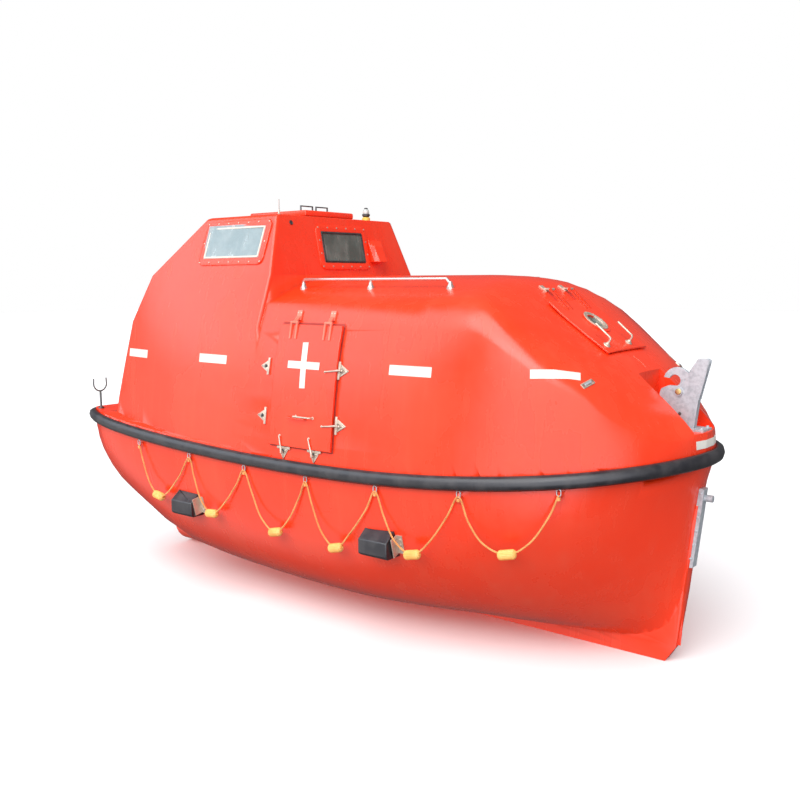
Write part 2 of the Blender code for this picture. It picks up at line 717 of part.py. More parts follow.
def make_door(name, side):
    """Side door: a curved panel hung at its head, with straps, dogs' pads and a grab handle."""
    def surface(x, z, lift):
        return side_point(x, z, lift, side)

    door = shell_panel("hatch_" + name, np.linspace(DOOR_AFT, DOOR_FORE, 3),
                       np.linspace(DOOR_FOOT, DOOR_HEAD, 8), surface, SEAL_GAP, SEAL_GAP + DOOR_THICK, GELCOAT)
    tools = []
    for x in DOOR_HINGES:
        pin = (x, side * DOOR_SWING_Y, DOOR_SWING_Z)
        tools += moving_barrels("door_barrel", pin, (1, 0, 0))
        for s in (-1, 1):
            strap_x = x + s * 0.026
            tools.append(skin("door_strap", [
                [(strap_x - 0.007, side * (DOOR_SWING_Y - 0.003), DOOR_SWING_Z),
                 (strap_x + 0.007, side * (DOOR_SWING_Y - 0.003), DOOR_SWING_Z),
                 (strap_x + 0.007, side * (DOOR_SWING_Y + 0.007), DOOR_SWING_Z),
                 (strap_x - 0.007, side * (DOOR_SWING_Y + 0.007), DOOR_SWING_Z)],
                [tuple(surface(strap_x - 0.007, 2.02, 0.020)), tuple(surface(strap_x + 0.007, 2.02, 0.020)),
                 tuple(surface(strap_x + 0.007, 2.02, 0.032)), tuple(surface(strap_x - 0.007, 2.02, 0.032))],
            ], collection=cutters))
    a, b = surface(-0.02, 1.50, 0.02), surface(0.13, 1.50, 0.02)
    out = Vector((0, side * 0.035, 0))
    tools.append(tube("door_handle", [a, a + out, b + out, b], 0.006, collection=cutters))
    boolean(door, tools, "UNION")
    hang_on(door, (0, side * DOOR_SWING_Y, DOOR_SWING_Z))
    for number, x in enumerate(DOOR_HINGES, 1):
        corners = [surface(x + dx, z, GAP) for dx, z in
                   ((-0.022, 2.150), (0.022, 2.150), (0.022, 2.215), (-0.022, 2.215))]
        leaf = flat_panel(f"hinge_{name}_{number}", corners, (0, side, 0.25), -0.015, 0.008, STAINLESS)
        barrel = rod("hinge_barrel", (x - 0.018, side * DOOR_SWING_Y, DOOR_SWING_Z),
                     (x + 0.018, side * DOOR_SWING_Y, DOOR_SWING_Z), 0.009, collection=cutters, sides=12)
        web = skin("hinge_web", [
            [(x + dx, side * (DOOR_SWING_Y + dy), DOOR_SWING_Z) for dx, dy in
             ((-0.016, -0.006), (0.016, -0.006), (0.016, 0.006), (-0.016, 0.006))],
            [tuple(surface(x + dx, 2.175, lift)) for dx, lift in
             ((-0.016, 0.002), (0.016, 0.002), (0.016, 0.010), (-0.016, 0.010))],
        ], collection=cutters)
        boolean(leaf, [barrel, web], "UNION")
        boolean(leaf, [canopy_outside("leaf_seat")], "DIFFERENCE")
    return door


def make_bow_hatch():
    """Hatch on the front slope, with a porthole, hung at its upper edge."""
    hatch = shell_panel("hatch_bow", np.linspace(BOW_HATCH_AFT, BOW_HATCH_FORE, 5),
                        np.linspace(-BOW_HATCH_HALF, BOW_HATCH_HALF, 5), slope_point,
                        SEAL_GAP, SEAL_GAP + 0.015, GELCOAT)
    centre = slope_point(1.680, 0, 0)
    normal = (slope_point(1.680, 0, 1) - centre).normalized()
    ring = rod("porthole_rim", centre + normal * 0.008, centre + normal * 0.029, 0.098, collection=cutters,
               sides=24)
    hole = rod("porthole_hole", centre - normal * 0.050, centre + normal * 0.080, 0.072, collection=cutters,
               sides=24)
    tools = [ring]
    for y in BOW_HINGES:
        pin = (BOW_SWING_X, y, BOW_SWING_Z)
        tools += moving_barrels("bow_barrel", pin, (0, 1, 0))
        for s in (-1, 1):
            strap_y = y + s * 0.026
            tools.append(skin("bow_strap", [
                [(BOW_SWING_X, strap_y + dy, BOW_SWING_Z + dz) for dy, dz in
                 ((-0.007, -0.006), (0.007, -0.006), (0.007, 0.006), (-0.007, 0.006))],
                [tuple(slope_point(1.56, strap_y + dy, lift)) for dy, lift in
                 ((-0.007, 0.011), (0.007, 0.011), (0.007, 0.025), (-0.007, 0.025))],
            ], collection=cutters))
    boolean(hatch, tools, "UNION")
    boolean(hatch, [hole], "DIFFERENCE")
    hang_on(hatch, (BOW_SWING_X, 0, BOW_SWING_Z))
    glass = rod("porthole_glass", centre + normal * 0.010, centre + normal * 0.018, 0.072 - GAP, GLAZING,
                sides=24)
    hang_on(glass, (BOW_SWING_X, 0, BOW_SWING_Z))
    for number, y in enumerate(BOW_HINGES, 1):
        corners = [slope_point(x, y + dy, GAP) for x, dy in
                   ((1.350, -0.020), (1.405, -0.020), (1.405, 0.020), (1.350, 0.020))]
        leaf = flat_panel(f"hinge_bow_{number}", corners, (0.4, 0, 1), -0.008, 0.008, STAINLESS)
        barrel = rod("hinge_barrel", (BOW_SWING_X, y - 0.018, BOW_SWING_Z),
                     (BOW_SWING_X, y + 0.018, BOW_SWING_Z), 0.009, collection=cutters, sides=12)
        web = skin("hinge_web", [
            [(BOW_SWING_X, y + dy, BOW_SWING_Z + dz) for dy, dz in
             ((-0.016, -0.006), (0.016, -0.006), (0.016, 0.006), (-0.016, 0.006))],
            [tuple(slope_point(1.380, y + dy, lift)) for dy, lift in
             ((-0.016, 0.002), (0.016, 0.002), (0.016, 0.012), (-0.016, 0.012))],
        ], collection=cutters)
        boolean(leaf, [barrel, web], "UNION")
        boolean(leaf, [canopy_outside("leaf_seat")], "DIFFERENCE")


def make_roof_hatch():
    """Lid on the tower's roof, hung at its aft edge, with two grab handles."""
    lid = box("hatch_roof", (ROOF_HATCH_AFT, -ROOF_HATCH_HALF, TOWER_ROOF + SEAL_GAP),
              (ROOF_HATCH_FORE, ROOF_HATCH_HALF, ROOF_HATCH_TOP), GELCOAT)
    round_edges(lid, 0.012, 2)
    tools = []
    for y in ROOF_HINGES:
        tools += moving_barrels("roof_barrel", (ROOF_SWING_X, y, ROOF_SWING_Z), (0, 1, 0))
        for s in (-1, 1):
            strap_y = y + s * 0.026
            tools.append(box("roof_strap", (ROOF_SWING_X, strap_y - 0.007, ROOF_SWING_Z - 0.005),
                             (ROOF_HATCH_AFT + 0.05, strap_y + 0.007, ROOF_SWING_Z + 0.005),
                             collection=cutters))
    for y in (-0.200, -0.030):
        tools.append(tube("roof_handle", [(-0.665, y - 0.065, 2.94), (-0.665, y - 0.065, 2.985),
                                          (-0.665, y + 0.065, 2.985), (-0.665, y + 0.065, 2.94)],
                          0.007, collection=cutters))
    boolean(lid, tools, "UNION")
    hang_on(lid, (ROOF_SWING_X, 0, ROOF_SWING_Z))
    for number, y in enumerate(ROOF_HINGES, 1):
        leaf = box(f"hinge_roof_{number}", (ROOF_SWING_X - 0.006, y - 0.018, TOWER_ROOF + GAP),
                   (ROOF_SWING_X + 0.006, y + 0.018, ROOF_SWING_Z), STAINLESS)
        barrel = rod("hinge_barrel", (ROOF_SWING_X, y - 0.018, ROOF_SWING_Z),
                     (ROOF_SWING_X, y + 0.018, ROOF_SWING_Z), 0.009, collection=cutters, sides=12)
        boolean(leaf, [barrel], "UNION")


# Release gear


def arc(cx, cz, radius, start, end, count):
    """Points of an arc in x and z, with angles in degrees from +X."""
    turns = [math.radians(start + (end - start) * i / (count - 1)) for i in range(count)]
    return [(cx + radius * math.cos(t), cz + radius * math.sin(t)) for t in turns]


def make_release_gear(name, x0, floor, way):
    """A hook's frame of two cheeks, bolted down at x0, and the hook that turns between them."""
    def mapped(points):
        return [(x0 + way * x, floor + z) for x, z in points]

    def cross_rod(rod_name, at, radius, low, high, sides=24):
        (x, z), = mapped([at])
        return rod(rod_name, (x, low, z), (x, high, z), radius, collection=cutters, sides=sides)

    cheek = [(-0.011, -0.010), (0.014, 0.188), (0.072, 0.430), (0.060, 0.440), (0.002, 0.437),
             (-0.045, 0.365), (-0.060, 0.320), (-0.095, 0.275), (-0.120, 0.262), (-0.180, 0.264)]
    cheek += arc(-0.145, 0.200, 0.088, 150, 280, 9) + [(-0.070, -0.010)]
    frame = plate("hook_frame_" + name, mapped(cheek), -CHEEK_OUTER, CHEEK_OUTER, GALVANISED)
    slot = box("hook_slot", (x0 - 0.5, -CHEEK_INNER, floor + 0.100), (x0 + 0.5, CHEEK_INNER, floor + 0.60),
               collection=cutters)
    foot = box("hook_foot", (x0 - 0.070, -0.075, floor - 0.015), (x0 + 0.070, 0.075, floor + 0.014),
               collection=cutters)
    crossing = [cross_rod("hook_pin", HOOK_PIN, HOOK_PIN_RADIUS, -0.030, 0.030),
                cross_rod("cheek_spacer", (0.030, 0.400), 0.012, -0.020, 0.020, sides=12)]
    for side in (-1, 1):
        low, high = sorted((side * (CHEEK_OUTER - 0.002), side * (CHEEK_OUTER + 0.010)))
        crossing.append(cross_rod("pin_head", HOOK_PIN, 0.026, low, high, sides=16))
    boolean(frame, [slot], "DIFFERENCE")
    boolean(frame, [foot] + crossing, "UNION")
    seat = box("well_seat", (1.9, -0.2, WELL_FLOOR - 0.1), (2.6, 0.2, WELL_FLOOR + GAP), collection=cutters)
    boolean(frame, [seat if way > 0 else deck_outside("hook_seat")], "DIFFERENCE")
    jaw = arc(-0.125, 0.290, 0.090, 165, -30, 14) + arc(*HOOK_PIN, 0.042, -20, -150, 8)
    jaw += arc(-0.141, 0.297, 0.036, -110, 160, 12)
    hook = plate("hook_" + name, mapped(jaw), -HOOK_HALF, HOOK_HALF, GALVANISED)
    boolean(hook, [cross_rod("hook_eye", HOOK_PIN, HOOK_PIN_RADIUS + 0.001, -0.05, 0.05)], "DIFFERENCE")
    hang_on(hook, (x0 + way * HOOK_PIN[0], 0, floor + HOOK_PIN[1]))


# Stern gear


def make_propeller():
    """Three-bladed propeller on its shaft."""
    hub = rod("propeller", (NOZZLE_X - 0.055, 0, SHAFT_HEIGHT), (NOZZLE_X + 0.045, 0, SHAFT_HEIGHT),
              0.034, BRONZE, sides=18)
    shaft = rod("shaft", (NOZZLE_X, 0, SHAFT_HEIGHT), (-1.60, 0, SHAFT_HEIGHT), 0.0125, collection=cutters)
    cap = rod("hub_cap", (NOZZLE_X - 0.050, 0, SHAFT_HEIGHT), (NOZZLE_X - 0.090, 0, SHAFT_HEIGHT), 0.028,
              collection=cutters, end_radius=0.010)
    blades = []
    # Columns: radius, half chord, pitch angle in degrees, half thickness
    sections = [(0.026, 0.026, 62, 0.0065), (0.060, 0.044, 48, 0.0050), (0.105, 0.056, 34, 0.0038),
                (0.140, 0.044, 27, 0.0028), (0.158, 0.018, 24, 0.0018)]
    for blade in range(3):
        turn = math.radians(120 * blade + 90)
        out = Vector((0, math.cos(turn), math.sin(turn)))
        side = Vector((0, -math.sin(turn), math.cos(turn)))
        rings = []
        for radius, chord, pitch, thick in sections:
            along = Vector((math.sin(math.radians(pitch)), 0, 0)) + side * math.cos(math.radians(pitch))
            face = out.cross(along)
            centre = Vector((NOZZLE_X, 0, SHAFT_HEIGHT)) + out * radius
            rings.append([centre + along * chord * a + face * thick * t for a, t in
                          ((-1, 0), (-0.4, 1), (0.4, 1), (1, 0), (0.4, -1), (-0.4, -1))])
        blades.append(skin("blade", rings, collection=cutters))
    boolean(hub, [shaft, cap] + blades, "UNION")
    hang_on(hub, (NOZZLE_X, 0, SHAFT_HEIGHT))


def make_nozzle():
    """Steering nozzle round the propeller, turning on a vertical stock."""
    half_length = NOZZLE_LENGTH / 2
    profile = [(NOZZLE_OUTER, half_length * 0.55), (NOZZLE_OUTER - 0.004, -half_length),
               (NOZZLE_OUTER - 0.010, -half_length), (NOZZLE_INNER, -half_length * 0.2),
               (NOZZLE_INNER, half_length * 0.3), (NOZZLE_INNER + 0.014, half_length),
               (NOZZLE_OUTER - 0.006, half_length)]
    nozzle = turned("steering_nozzle", profile, GELCOAT)
    nozzle.rotation_euler = (0, math.radians(90), 0)
    nozzle.location = (NOZZLE_X, 0, SHAFT_HEIGHT)
    stock = rod("nozzle_stock", (NOZZLE_X, 0, SHAFT_HEIGHT + NOZZLE_OUTER - 0.014), (NOZZLE_X, 0, 0.450 - GAP),
                0.020, collection=cutters)
    boolean(nozzle, [stock], "UNION")


def make_stern_tube():
    rod_tube = turned("stern_tube", [(0.030, -1.58), (0.030, SKEG_END - 0.020), (0.0125 + GAP, SKEG_END - 0.020),
                                     (0.0125 + GAP, -1.58)], BRONZE, steps=20)
    rod_tube.rotation_euler = (0, math.radians(90), 0)
    rod_tube.location = (0, 0, SHAFT_HEIGHT)


# Fittings outside


def make_skate(name, x, z, side):
    """Rubber skate block on the hull's side, with a sloping top."""
    back = half(x) - 0.15
    outline = [(0, -0.075), (0.170, -0.075), (0.195, -0.055), (0.195, 0.035), (0.100, 0.110), (0, 0.110)]
    rings = []
    for dx in (-0.125, 0.105):
        rings.append([(x + dx, side * (back + o), z + h) for o, h in outline])
    block = skin("skate_" + name, rings, RUBBER)
    boolean(block, [hull_outside("skate_seat")], "DIFFERENCE")
    return block


def make_rail(name, side):
    """Handrail on the canopy's roof, on three feet."""
    y = 0.600 * side
    top = 2.425
    ends = [(-0.330, top), (0.930, top)]
    aft, fore = ends[0][0], ends[1][0]
    points = [(aft, y, roof_height(aft, y) - 0.01), (aft, y, top - 0.015), (aft + 0.015, y, top),
              (fore, y, top), (fore + 0.025, y, top - 0.025), (fore + 0.030, y, roof_height(fore, y) - 0.01)]
    rail = tube("handrail_" + name, points, 0.011, STAINLESS)
    middle = rod("rail_post", (0.300, y, roof_height(0.3, y) - 0.01), (0.300, y, top), 0.009, collection=cutters)
    feet = [rod("rail_foot", (x, y, roof_height(x, y) - 0.02), (x, y, roof_height(x, y) + 0.010), 0.026,
                collection=cutters) for x in (aft, 0.300, fore + 0.030)]
    boolean(rail, [middle] + feet, "UNION")
    boolean(rail, [canopy_outside("rail_seat")], "DIFFERENCE")


def make_crutch(name, side):
    """U-shaped crutch for an oar, standing on the quarter."""
    x, y = -2.420, 0.920 * side
    foot = sheer(x) + AFT_DECK + GAP
    outline = [(-0.060, 0.255)] + arc(0, 0.210, 0.063, 180, 360, 11) + [(0.060, 0.255)]
    crutch = tube("crutch_" + name, [(x, y + dy, foot + dz) for dy, dz in outline], 0.006, GALVANISED)
    neck = rod("crutch_neck", (x, y, foot - 0.01), (x, y, foot + 0.148), 0.009, collection=cutters)
    base = rod("crutch_base", (x, y, foot - 0.02), (x, y, foot + 0.010), 0.024, collection=cutters)
    boolean(crutch, [neck, base], "UNION")
    boolean(crutch, [deck_outside("crutch_seat")], "DIFFERENCE")


def make_cowl():
    """Vent cowl on the front of the tower, open underneath."""
    foot, head = 2.560, 2.735
    x_low, x_high = tower_end_x(foot, 3), tower_end_x(head, 3)
    rings = []
    for y in (0.305, 0.335, 0.430, 0.460):
        deep = 0.045 if y in (0.305, 0.460) else 0.085
        rings.append([(x_low + GAP, y, foot), (x_low + deep, y, foot), (x_high + deep * 0.75, y, head - 0.05),
                      (x_high + 0.020, y, head), (x_high + GAP, y, head)])
    cowl = skin("vent_cowl", rings, GELCOAT)
    mouth = box("cowl_mouth", (x_low + 0.012, 0.345, foot - 0.05), (x_low + 0.048, 0.420, foot + 0.05),
                collection=cutters)
    boolean(cowl, [mouth], "DIFFERENCE")


def make_roof_fittings():
    lamp = rod("position_light", (-0.585, 0.420, TOWER_ROOF + GAP), (-0.585, 0.420, TOWER_ROOF + 0.040), 0.031,
               LAMP)
    globe = rod("lamp_globe", (-0.585, 0.420, TOWER_ROOF + 0.030), (-0.585, 0.420, TOWER_ROOF + 0.105), 0.023,
                collection=cutters)
    boolean(lamp, [globe], "UNION")
    rod("aerial", (-0.565, -0.600, TOWER_ROOF + GAP), (-0.565, -0.600, TOWER_ROOF + 0.110), 0.004, STAINLESS,
        sides=10)


def make_stem_fitting():
    """Painter fitting on the stem: a plate with a round boss, and the band below it."""
    band = plate("stem_fitting", [(2.390, 0.640), (2.432, 1.010), (2.445, 1.145), (2.395, 1.145), (2.360, 0.900),
                                  (2.330, 0.640)], -0.034, 0.034, GALVANISED)
    hull_side = hull_outside("stem_seat")
    boss = rod("stem_boss", (2.425, 0, 1.085), (2.490, 0, 1.085), 0.022, collection=cutters)
    boolean(band, [boss], "UNION")
    front = [(x + GAP, z) for x, z in KEEL_FRONT]
    front[-1] = (front[-1][0], front[-1][1] + GAP)
    keel_side = plate("keel_seat", [(2.2, front[0][1])] + front + [(2.2, front[-1][1])],
                      -KEEL_HALF - GAP, KEEL_HALF + GAP, collection=cutters)
    boolean(band, [hull_side, keel_side], "DIFFERENCE")


# Inside


def make_inside():
    sole = skin("sole", [[(x, -w, 0.300), (x, w, 0.300), (x, w, 0.325), (x, -w, 0.325)] for x, w in
                         ((-1.50, 0.62), (-0.5, 0.72), (0.6, 0.72), (1.35, 0.40))], GELCOAT_IN)
    boolean(sole, [hull_inside("sole_seat", GAP)], "INTERSECT")
    for name, side in (("starboard", -1), ("port", 1)):
        rings = []
        for x in (-0.95, -0.2, 0.7, 1.45):
            outer = 1.2
            rings.append([(x, side * 0.50, 0.70), (x, side * outer, 0.70), (x, side * outer, 0.66),
                          (x, side * 0.50, 0.66)])
        bench = skin("bench_" + name, rings, GELCOAT_IN)
        boolean(bench, [hull_inside("bench_seat", GAP)], "INTERSECT")
    engine = box("engine", (-1.45, -0.26, 0.325 + GAP), (-0.75, 0.26, 0.86), ENGINE_PAINT)
    round_edges(engine, 0.02, 1)
    seat = box("helm_seat", (-1.32, -0.20, 0.86 + GAP), (-0.96, 0.20, 1.55), CUSHION)
    back = box("helm_seat_back", (-1.36, -0.20, 1.50), (-1.28, 0.20, 2.02), collection=cutters)
    boolean(seat, [back], "UNION")
    console = box("helm_console", (-0.68, -0.34, 0.325 + GAP), (-0.50, 0.34, 1.90), GELCOAT_IN)
    top = box("console_top", (-0.68, -0.34, 1.90 - 0.03), (-0.44, 0.34, 1.94), collection=cutters)
    boolean(console, [top], "UNION")


def make_wheel():
    """Steering wheel on the aft face of the console."""
    centre = Vector((-0.735, 0, 1.76))
    rim = turned("steering_wheel", [(0.163, 0.010), (0.168, 0.0), (0.163, -0.010), (0.149, -0.010), (0.144, 0.0),
                                    (0.149, 0.010)], RUBBER, steps=28)
    rim.rotation_euler = (0, math.radians(90), 0)
    rim.location = centre
    spokes = []
    for turn in (0, 120, 240):
        t = math.radians(turn)
        end = centre + Vector((0, math.sin(t), math.cos(t))) * 0.153
        spokes.append(rod("wheel_spoke", centre, end, 0.007, collection=cutters, sides=10))
    hub = rod("wheel_hub", (-0.75, 0, 1.76), (-0.68 - GAP, 0, 1.76), 0.022, collection=cutters)
    boolean(rim, spokes + [hub], "UNION")


# Lifelines


def through(points):
    """Points on a smooth curve through the route, and how far along it each one is."""
    knots = [Vector(p) for p in points]
    knots = [knots[0] * 2 - knots[1]] + knots + [knots[-1] * 2 - knots[-2]]
    fine = []
    for a, b, c, d in zip(knots, knots[1:], knots[2:], knots[3:]):
        for i in range(CURVE_STEPS):
            t = i / CURVE_STEPS
            fine.append(0.5 * (2 * b + (c - a) * t + (2 * a - 5 * b + 4 * c - d) * t * t
                               + (3 * b - a - 3 * c + d) * t ** 3))
    fine.append(knots[-2])
    run = [0.0]
    for p, q in zip(fine, fine[1:]):
        run.append(run[-1] + (q - p).length)
    return fine, run


def make_lifeline(name, side):
    """Becketed lifeline along one side, swelling to a float at the bottom of each bight."""
    fine, run = through([(x, side * y, z) for x, y, z in LIFELINE])
    marks, swell = [], []
    for lug, low, following in zip(LUG_ROWS, FLOAT_ROWS, LUG_ROWS[1:]):
        start, middle, end = (run[row * CURVE_STEPS] for row in (lug, low, following))
        marks += list(np.linspace(start, middle - FLOAT_HALF, 5)[:-1])
        marks += [middle - FLOAT_HALF, middle - FLOAT_HALF * 0.6, middle + FLOAT_HALF * 0.6, middle + FLOAT_HALF]
        marks += list(np.linspace(middle + FLOAT_HALF, end, 6)[1:-1])
        swell += [1.0] * 5 + [FLOAT_SWELL, FLOAT_SWELL] + [1.0] * 5
    marks.append(run[-1])
    swell.append(1.0)
    columns = [np.interp(marks, run, [p[axis] for p in fine]) for axis in range(3)]
    tube("lifeline_" + name, [Vector(p) for p in zip(*columns)], ROPE / 2, LINE, swell=swell)


make_hull()
make_canopy()
make_fender()
make_panes()
for tag, hand in (("starboard", -1), ("port", 1)):
    make_door(tag, hand)
    make_rail(tag, hand)
    make_crutch(tag, hand)
    make_lifeline(tag, hand)
    make_skate("aft_" + tag, -1.130, 0.730, hand)
    make_skate("fore_" + tag, 0.740, 0.745, hand)
make_bow_hatch()
make_roof_hatch()
make_release_gear("fore", FORE_HOOK_X, WELL_FLOOR, 1)
make_release_gear("aft", AFT_HOOK_X, sheer(AFT_HOOK_X) + AFT_DECK, -1)
make_propeller()
make_nozzle()
make_stern_tube()
make_cowl()
make_roof_fittings()
make_stem_fitting()
make_inside()
make_wheel()
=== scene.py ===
import math

import bmesh
import bpy
from mathutils import Matrix, Vector
from mathutils.bvhtree import BVHTree


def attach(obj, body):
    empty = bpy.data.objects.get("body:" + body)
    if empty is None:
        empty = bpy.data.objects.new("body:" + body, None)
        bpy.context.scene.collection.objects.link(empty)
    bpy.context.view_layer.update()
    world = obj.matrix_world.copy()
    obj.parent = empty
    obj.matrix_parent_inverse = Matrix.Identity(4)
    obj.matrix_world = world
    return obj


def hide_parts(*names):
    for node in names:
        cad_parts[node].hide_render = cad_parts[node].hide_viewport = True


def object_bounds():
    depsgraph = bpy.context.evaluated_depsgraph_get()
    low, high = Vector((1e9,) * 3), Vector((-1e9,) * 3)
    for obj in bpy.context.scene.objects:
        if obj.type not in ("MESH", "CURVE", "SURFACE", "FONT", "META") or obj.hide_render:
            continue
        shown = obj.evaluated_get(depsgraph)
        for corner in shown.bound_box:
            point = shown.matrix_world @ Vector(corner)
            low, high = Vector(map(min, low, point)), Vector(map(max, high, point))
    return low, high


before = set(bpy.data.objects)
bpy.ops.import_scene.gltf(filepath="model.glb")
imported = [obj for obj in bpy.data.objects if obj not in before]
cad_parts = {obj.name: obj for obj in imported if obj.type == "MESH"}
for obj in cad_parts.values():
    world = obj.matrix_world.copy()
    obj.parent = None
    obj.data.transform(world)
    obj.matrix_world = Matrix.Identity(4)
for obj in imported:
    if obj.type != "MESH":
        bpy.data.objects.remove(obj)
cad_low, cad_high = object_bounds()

# A totally enclosed lifeboat, moulded in orange gelcoat. X runs to the bow, Y to port and Z up.
# Heights below are measured up from the underside of the keel, which is KEEL in the frame.
KEEL = cad_low[2]
SIDES = (("starboard", -1), ("port", 1))
shift = Matrix.Translation
link = bpy.context.scene.collection.objects.link


# Camera. Someone stands off the starboard bow, eyes a little above the rail, and turns the
# camera a touch off level. The lens takes in the whole boat.
CAMERA_PLACE = (4.336, -5.494, 1.928)
CAMERA_HEADING = math.radians(37.75)     # from straight across the boat towards the stern
CAMERA_DIP = math.radians(7.52)
CAMERA_LEAN = math.radians(-0.33)

camera_data = bpy.data.cameras.new("camera")
camera_data.sensor_width = 36
camera_data.lens = 41.4
camera = bpy.data.objects.new("camera", camera_data)
camera.matrix_world = (shift(CAMERA_PLACE)
                       @ Matrix.Rotation(CAMERA_HEADING, 4, "Z")
                       @ Matrix.Rotation(math.radians(90) - CAMERA_DIP, 4, "X")
                       @ Matrix.Rotation(CAMERA_LEAN, 4, "Z"))
link(camera)
bpy.context.scene.camera = camera
bpy.context.scene.view_settings.view_transform = "Standard"


# Studio. A pale floor under the keel and a pale even surround. Gloss mirrors a dim room with
# three broad pale walls to starboard, and a soft light falls from high on that side.
FLOOR_SIZE = 120
FLOOR_GAP = 0.001
SURROUND = (0.92, 0.94, 0.97)
SURROUND_STRENGTH = 0.72
MIRRORED_STRENGTH = 0.15
# The walls. Columns: direction, colour, strength, cosines where each fades out and is full
WALLS = [
    ((-0.663, -0.557, 0.500), (0.78, 0.89, 1.0), 2.9, 0.848, 0.966),
    ((0.500, -0.866, 0.035), (0.88, 0.93, 1.0), 3.0, 0.643, 0.848),
    ((-0.720, -0.604, -0.342), (1.0, 0.98, 0.96), 0.8, 0.707, 0.940),
]
SKY_STRENGTH = 3.6
SKY_SPREAD = math.radians(60)
SKY_FALLS = (-0.10, 0.68, -0.72)


def shader(tree, kind, feeds=(), out=0, **options):
    """Add a shader node, set its options, feed its sockets by name or in order, and give one output."""
    made = tree.nodes.new("ShaderNode" + kind)
    for key, value in options.items():
        setattr(made, key, value)
    for key, value in (feeds.items() if isinstance(feeds, dict) else enumerate(feeds)):
        if isinstance(value, bpy.types.NodeSocket):
            tree.links.new(value, made.inputs[key])
        else:
            made.inputs[key].default_value = value
    return made.outputs[out]


def primitive(add, **options):
    """Add a mesh primitive with nothing else selected."""
    bpy.ops.object.select_all(action="DESELECT")
    add(**options)
    return bpy.context.object


world = bpy.data.worlds.new("surround")
world.use_nodes = True
tree = world.node_tree
way = shader(tree, "TexCoord", out="Generated")
lit = tree.nodes["Background"]
lit.inputs["Color"].default_value = (*SURROUND, 1)
lit.inputs["Strength"].default_value = SURROUND_STRENGTH
seen = shader(tree, "Background", [(1.0, 1.0, 1.0, 1)])
glow = [value * MIRRORED_STRENGTH for value in SURROUND]
for direction, colour, strength, faded, full in WALLS:
    lean = shader(tree, "VectorMath", [way, direction], "Value", operation="DOT_PRODUCT")
    share = shader(tree, "MapRange", [lean, faded, full], interpolation_type="SMOOTHSTEP")
    bright = [value * strength for value in colour]
    wall = shader(tree, "VectorMath", [bright, share], operation="MULTIPLY")
    glow = shader(tree, "VectorMath", [glow, wall], operation="ADD")
shown = lit.outputs[0]
for ray, view in (("Is Glossy Ray", shader(tree, "Background", [glow])), ("Is Camera Ray", seen)):
    shown = shader(tree, "MixShader", [shader(tree, "LightPath", out=ray), shown, view])
tree.links.new(shown, tree.nodes["World Output"].inputs["Surface"])
bpy.context.scene.world = world

sky_data = bpy.data.lights.new("soft_sky", "SUN")
sky_data.energy = SKY_STRENGTH
sky_data.angle = SKY_SPREAD
sky = bpy.data.objects.new("soft_sky", sky_data)
sky.rotation_euler = Vector(SKY_FALLS).to_track_quat("-Z", "Y").to_euler()
link(sky)

floor = primitive(bpy.ops.mesh.primitive_plane_add, size=FLOOR_SIZE, location=(0, 0, KEEL - FLOOR_GAP))
floor.name = "floor"
floor.visible_diffuse = False
floor.visible_glossy = False
floor_paint = bpy.data.materials.new("pale_floor")
floor_paint.use_nodes = True
floor_shader = floor_paint.node_tree.nodes["Principled BSDF"]
floor_shader.inputs["Base Color"].default_value = (0.90, 0.90, 0.90, 1)
floor_shader.inputs["Roughness"].default_value = 0.9
floor.data.materials.append(floor_paint)


# Lifelines. One laid rope along each side, seized under the fender at seven pad eyes, with an
# oval plastic float threaded on at the bottom of each bight. It is drawn sagging along a given route.
ROPE = 0.0135
ROPE_LAY = 0.040         # length of one turn of a strand
ROPE_STEP = 0.0065
STRANDS = 3
STRAND_SHARE = 0.52      # a strand's radius as a share of the rope's
STRAND_SIDES = 8
CURVE_STEPS = 12
FLOAT_HALF = 0.058
FLOAT_RADIUS = 0.027
EYE_RADIUS = 0.0135
EYE_DROP = 0.014
EYE_LIFT = Vector((0, 0, 0.008))
SEIZING_TURNS = 5
TWINE_DROP = Vector((0, 0, 0.014))
# Columns: x, distance from the centreline, height. Every sixth point is at a pad eye
ROPE_ROUTE = [
    (-1.665, 1.104, 1.145), (-1.625, 1.101, 1.010), (-1.560, 1.097, 0.850),
    (-1.455, 1.095, 0.760), (-1.345, 1.097, 0.800), (-1.190, 1.101, 0.950),
    (-1.062, 1.108, 1.108), (-1.010, 1.106, 0.960), (-0.945, 1.104, 0.800),
    (-0.830, 1.103, 0.715), (-0.700, 1.104, 0.800), (-0.550, 1.107, 0.970),
    (-0.462, 1.112, 1.088), (-0.385, 1.109, 0.930), (-0.300, 1.107, 0.765),
    (-0.165, 1.106, 0.685), (-0.030, 1.107, 0.800), (0.075, 1.109, 0.970),
    (0.137, 1.113, 1.084), (0.190, 1.110, 0.940), (0.270, 1.107, 0.760),
    (0.395, 1.106, 0.672), (0.520, 1.106, 0.790), (0.655, 1.106, 0.965),
    (0.735, 1.108, 1.100), (0.800, 1.103, 0.950), (0.880, 1.096, 0.800),
    (1.010, 1.085, 0.732), (1.130, 1.073, 0.830), (1.250, 1.061, 1.000),
    (1.330, 1.050, 1.138), (1.390, 1.034, 0.990), (1.480, 1.010, 0.865),
    (1.620, 0.970, 0.815), (1.750, 0.928, 0.900), (1.850, 0.893, 1.060),
    (1.906, 0.881, 1.195),
]


def pick(obj):
    """Make one object the only one that is selected and active."""
    bpy.ops.object.select_all(action="DESELECT")
    obj.select_set(True)
    bpy.context.view_layer.objects.active = obj
    return obj


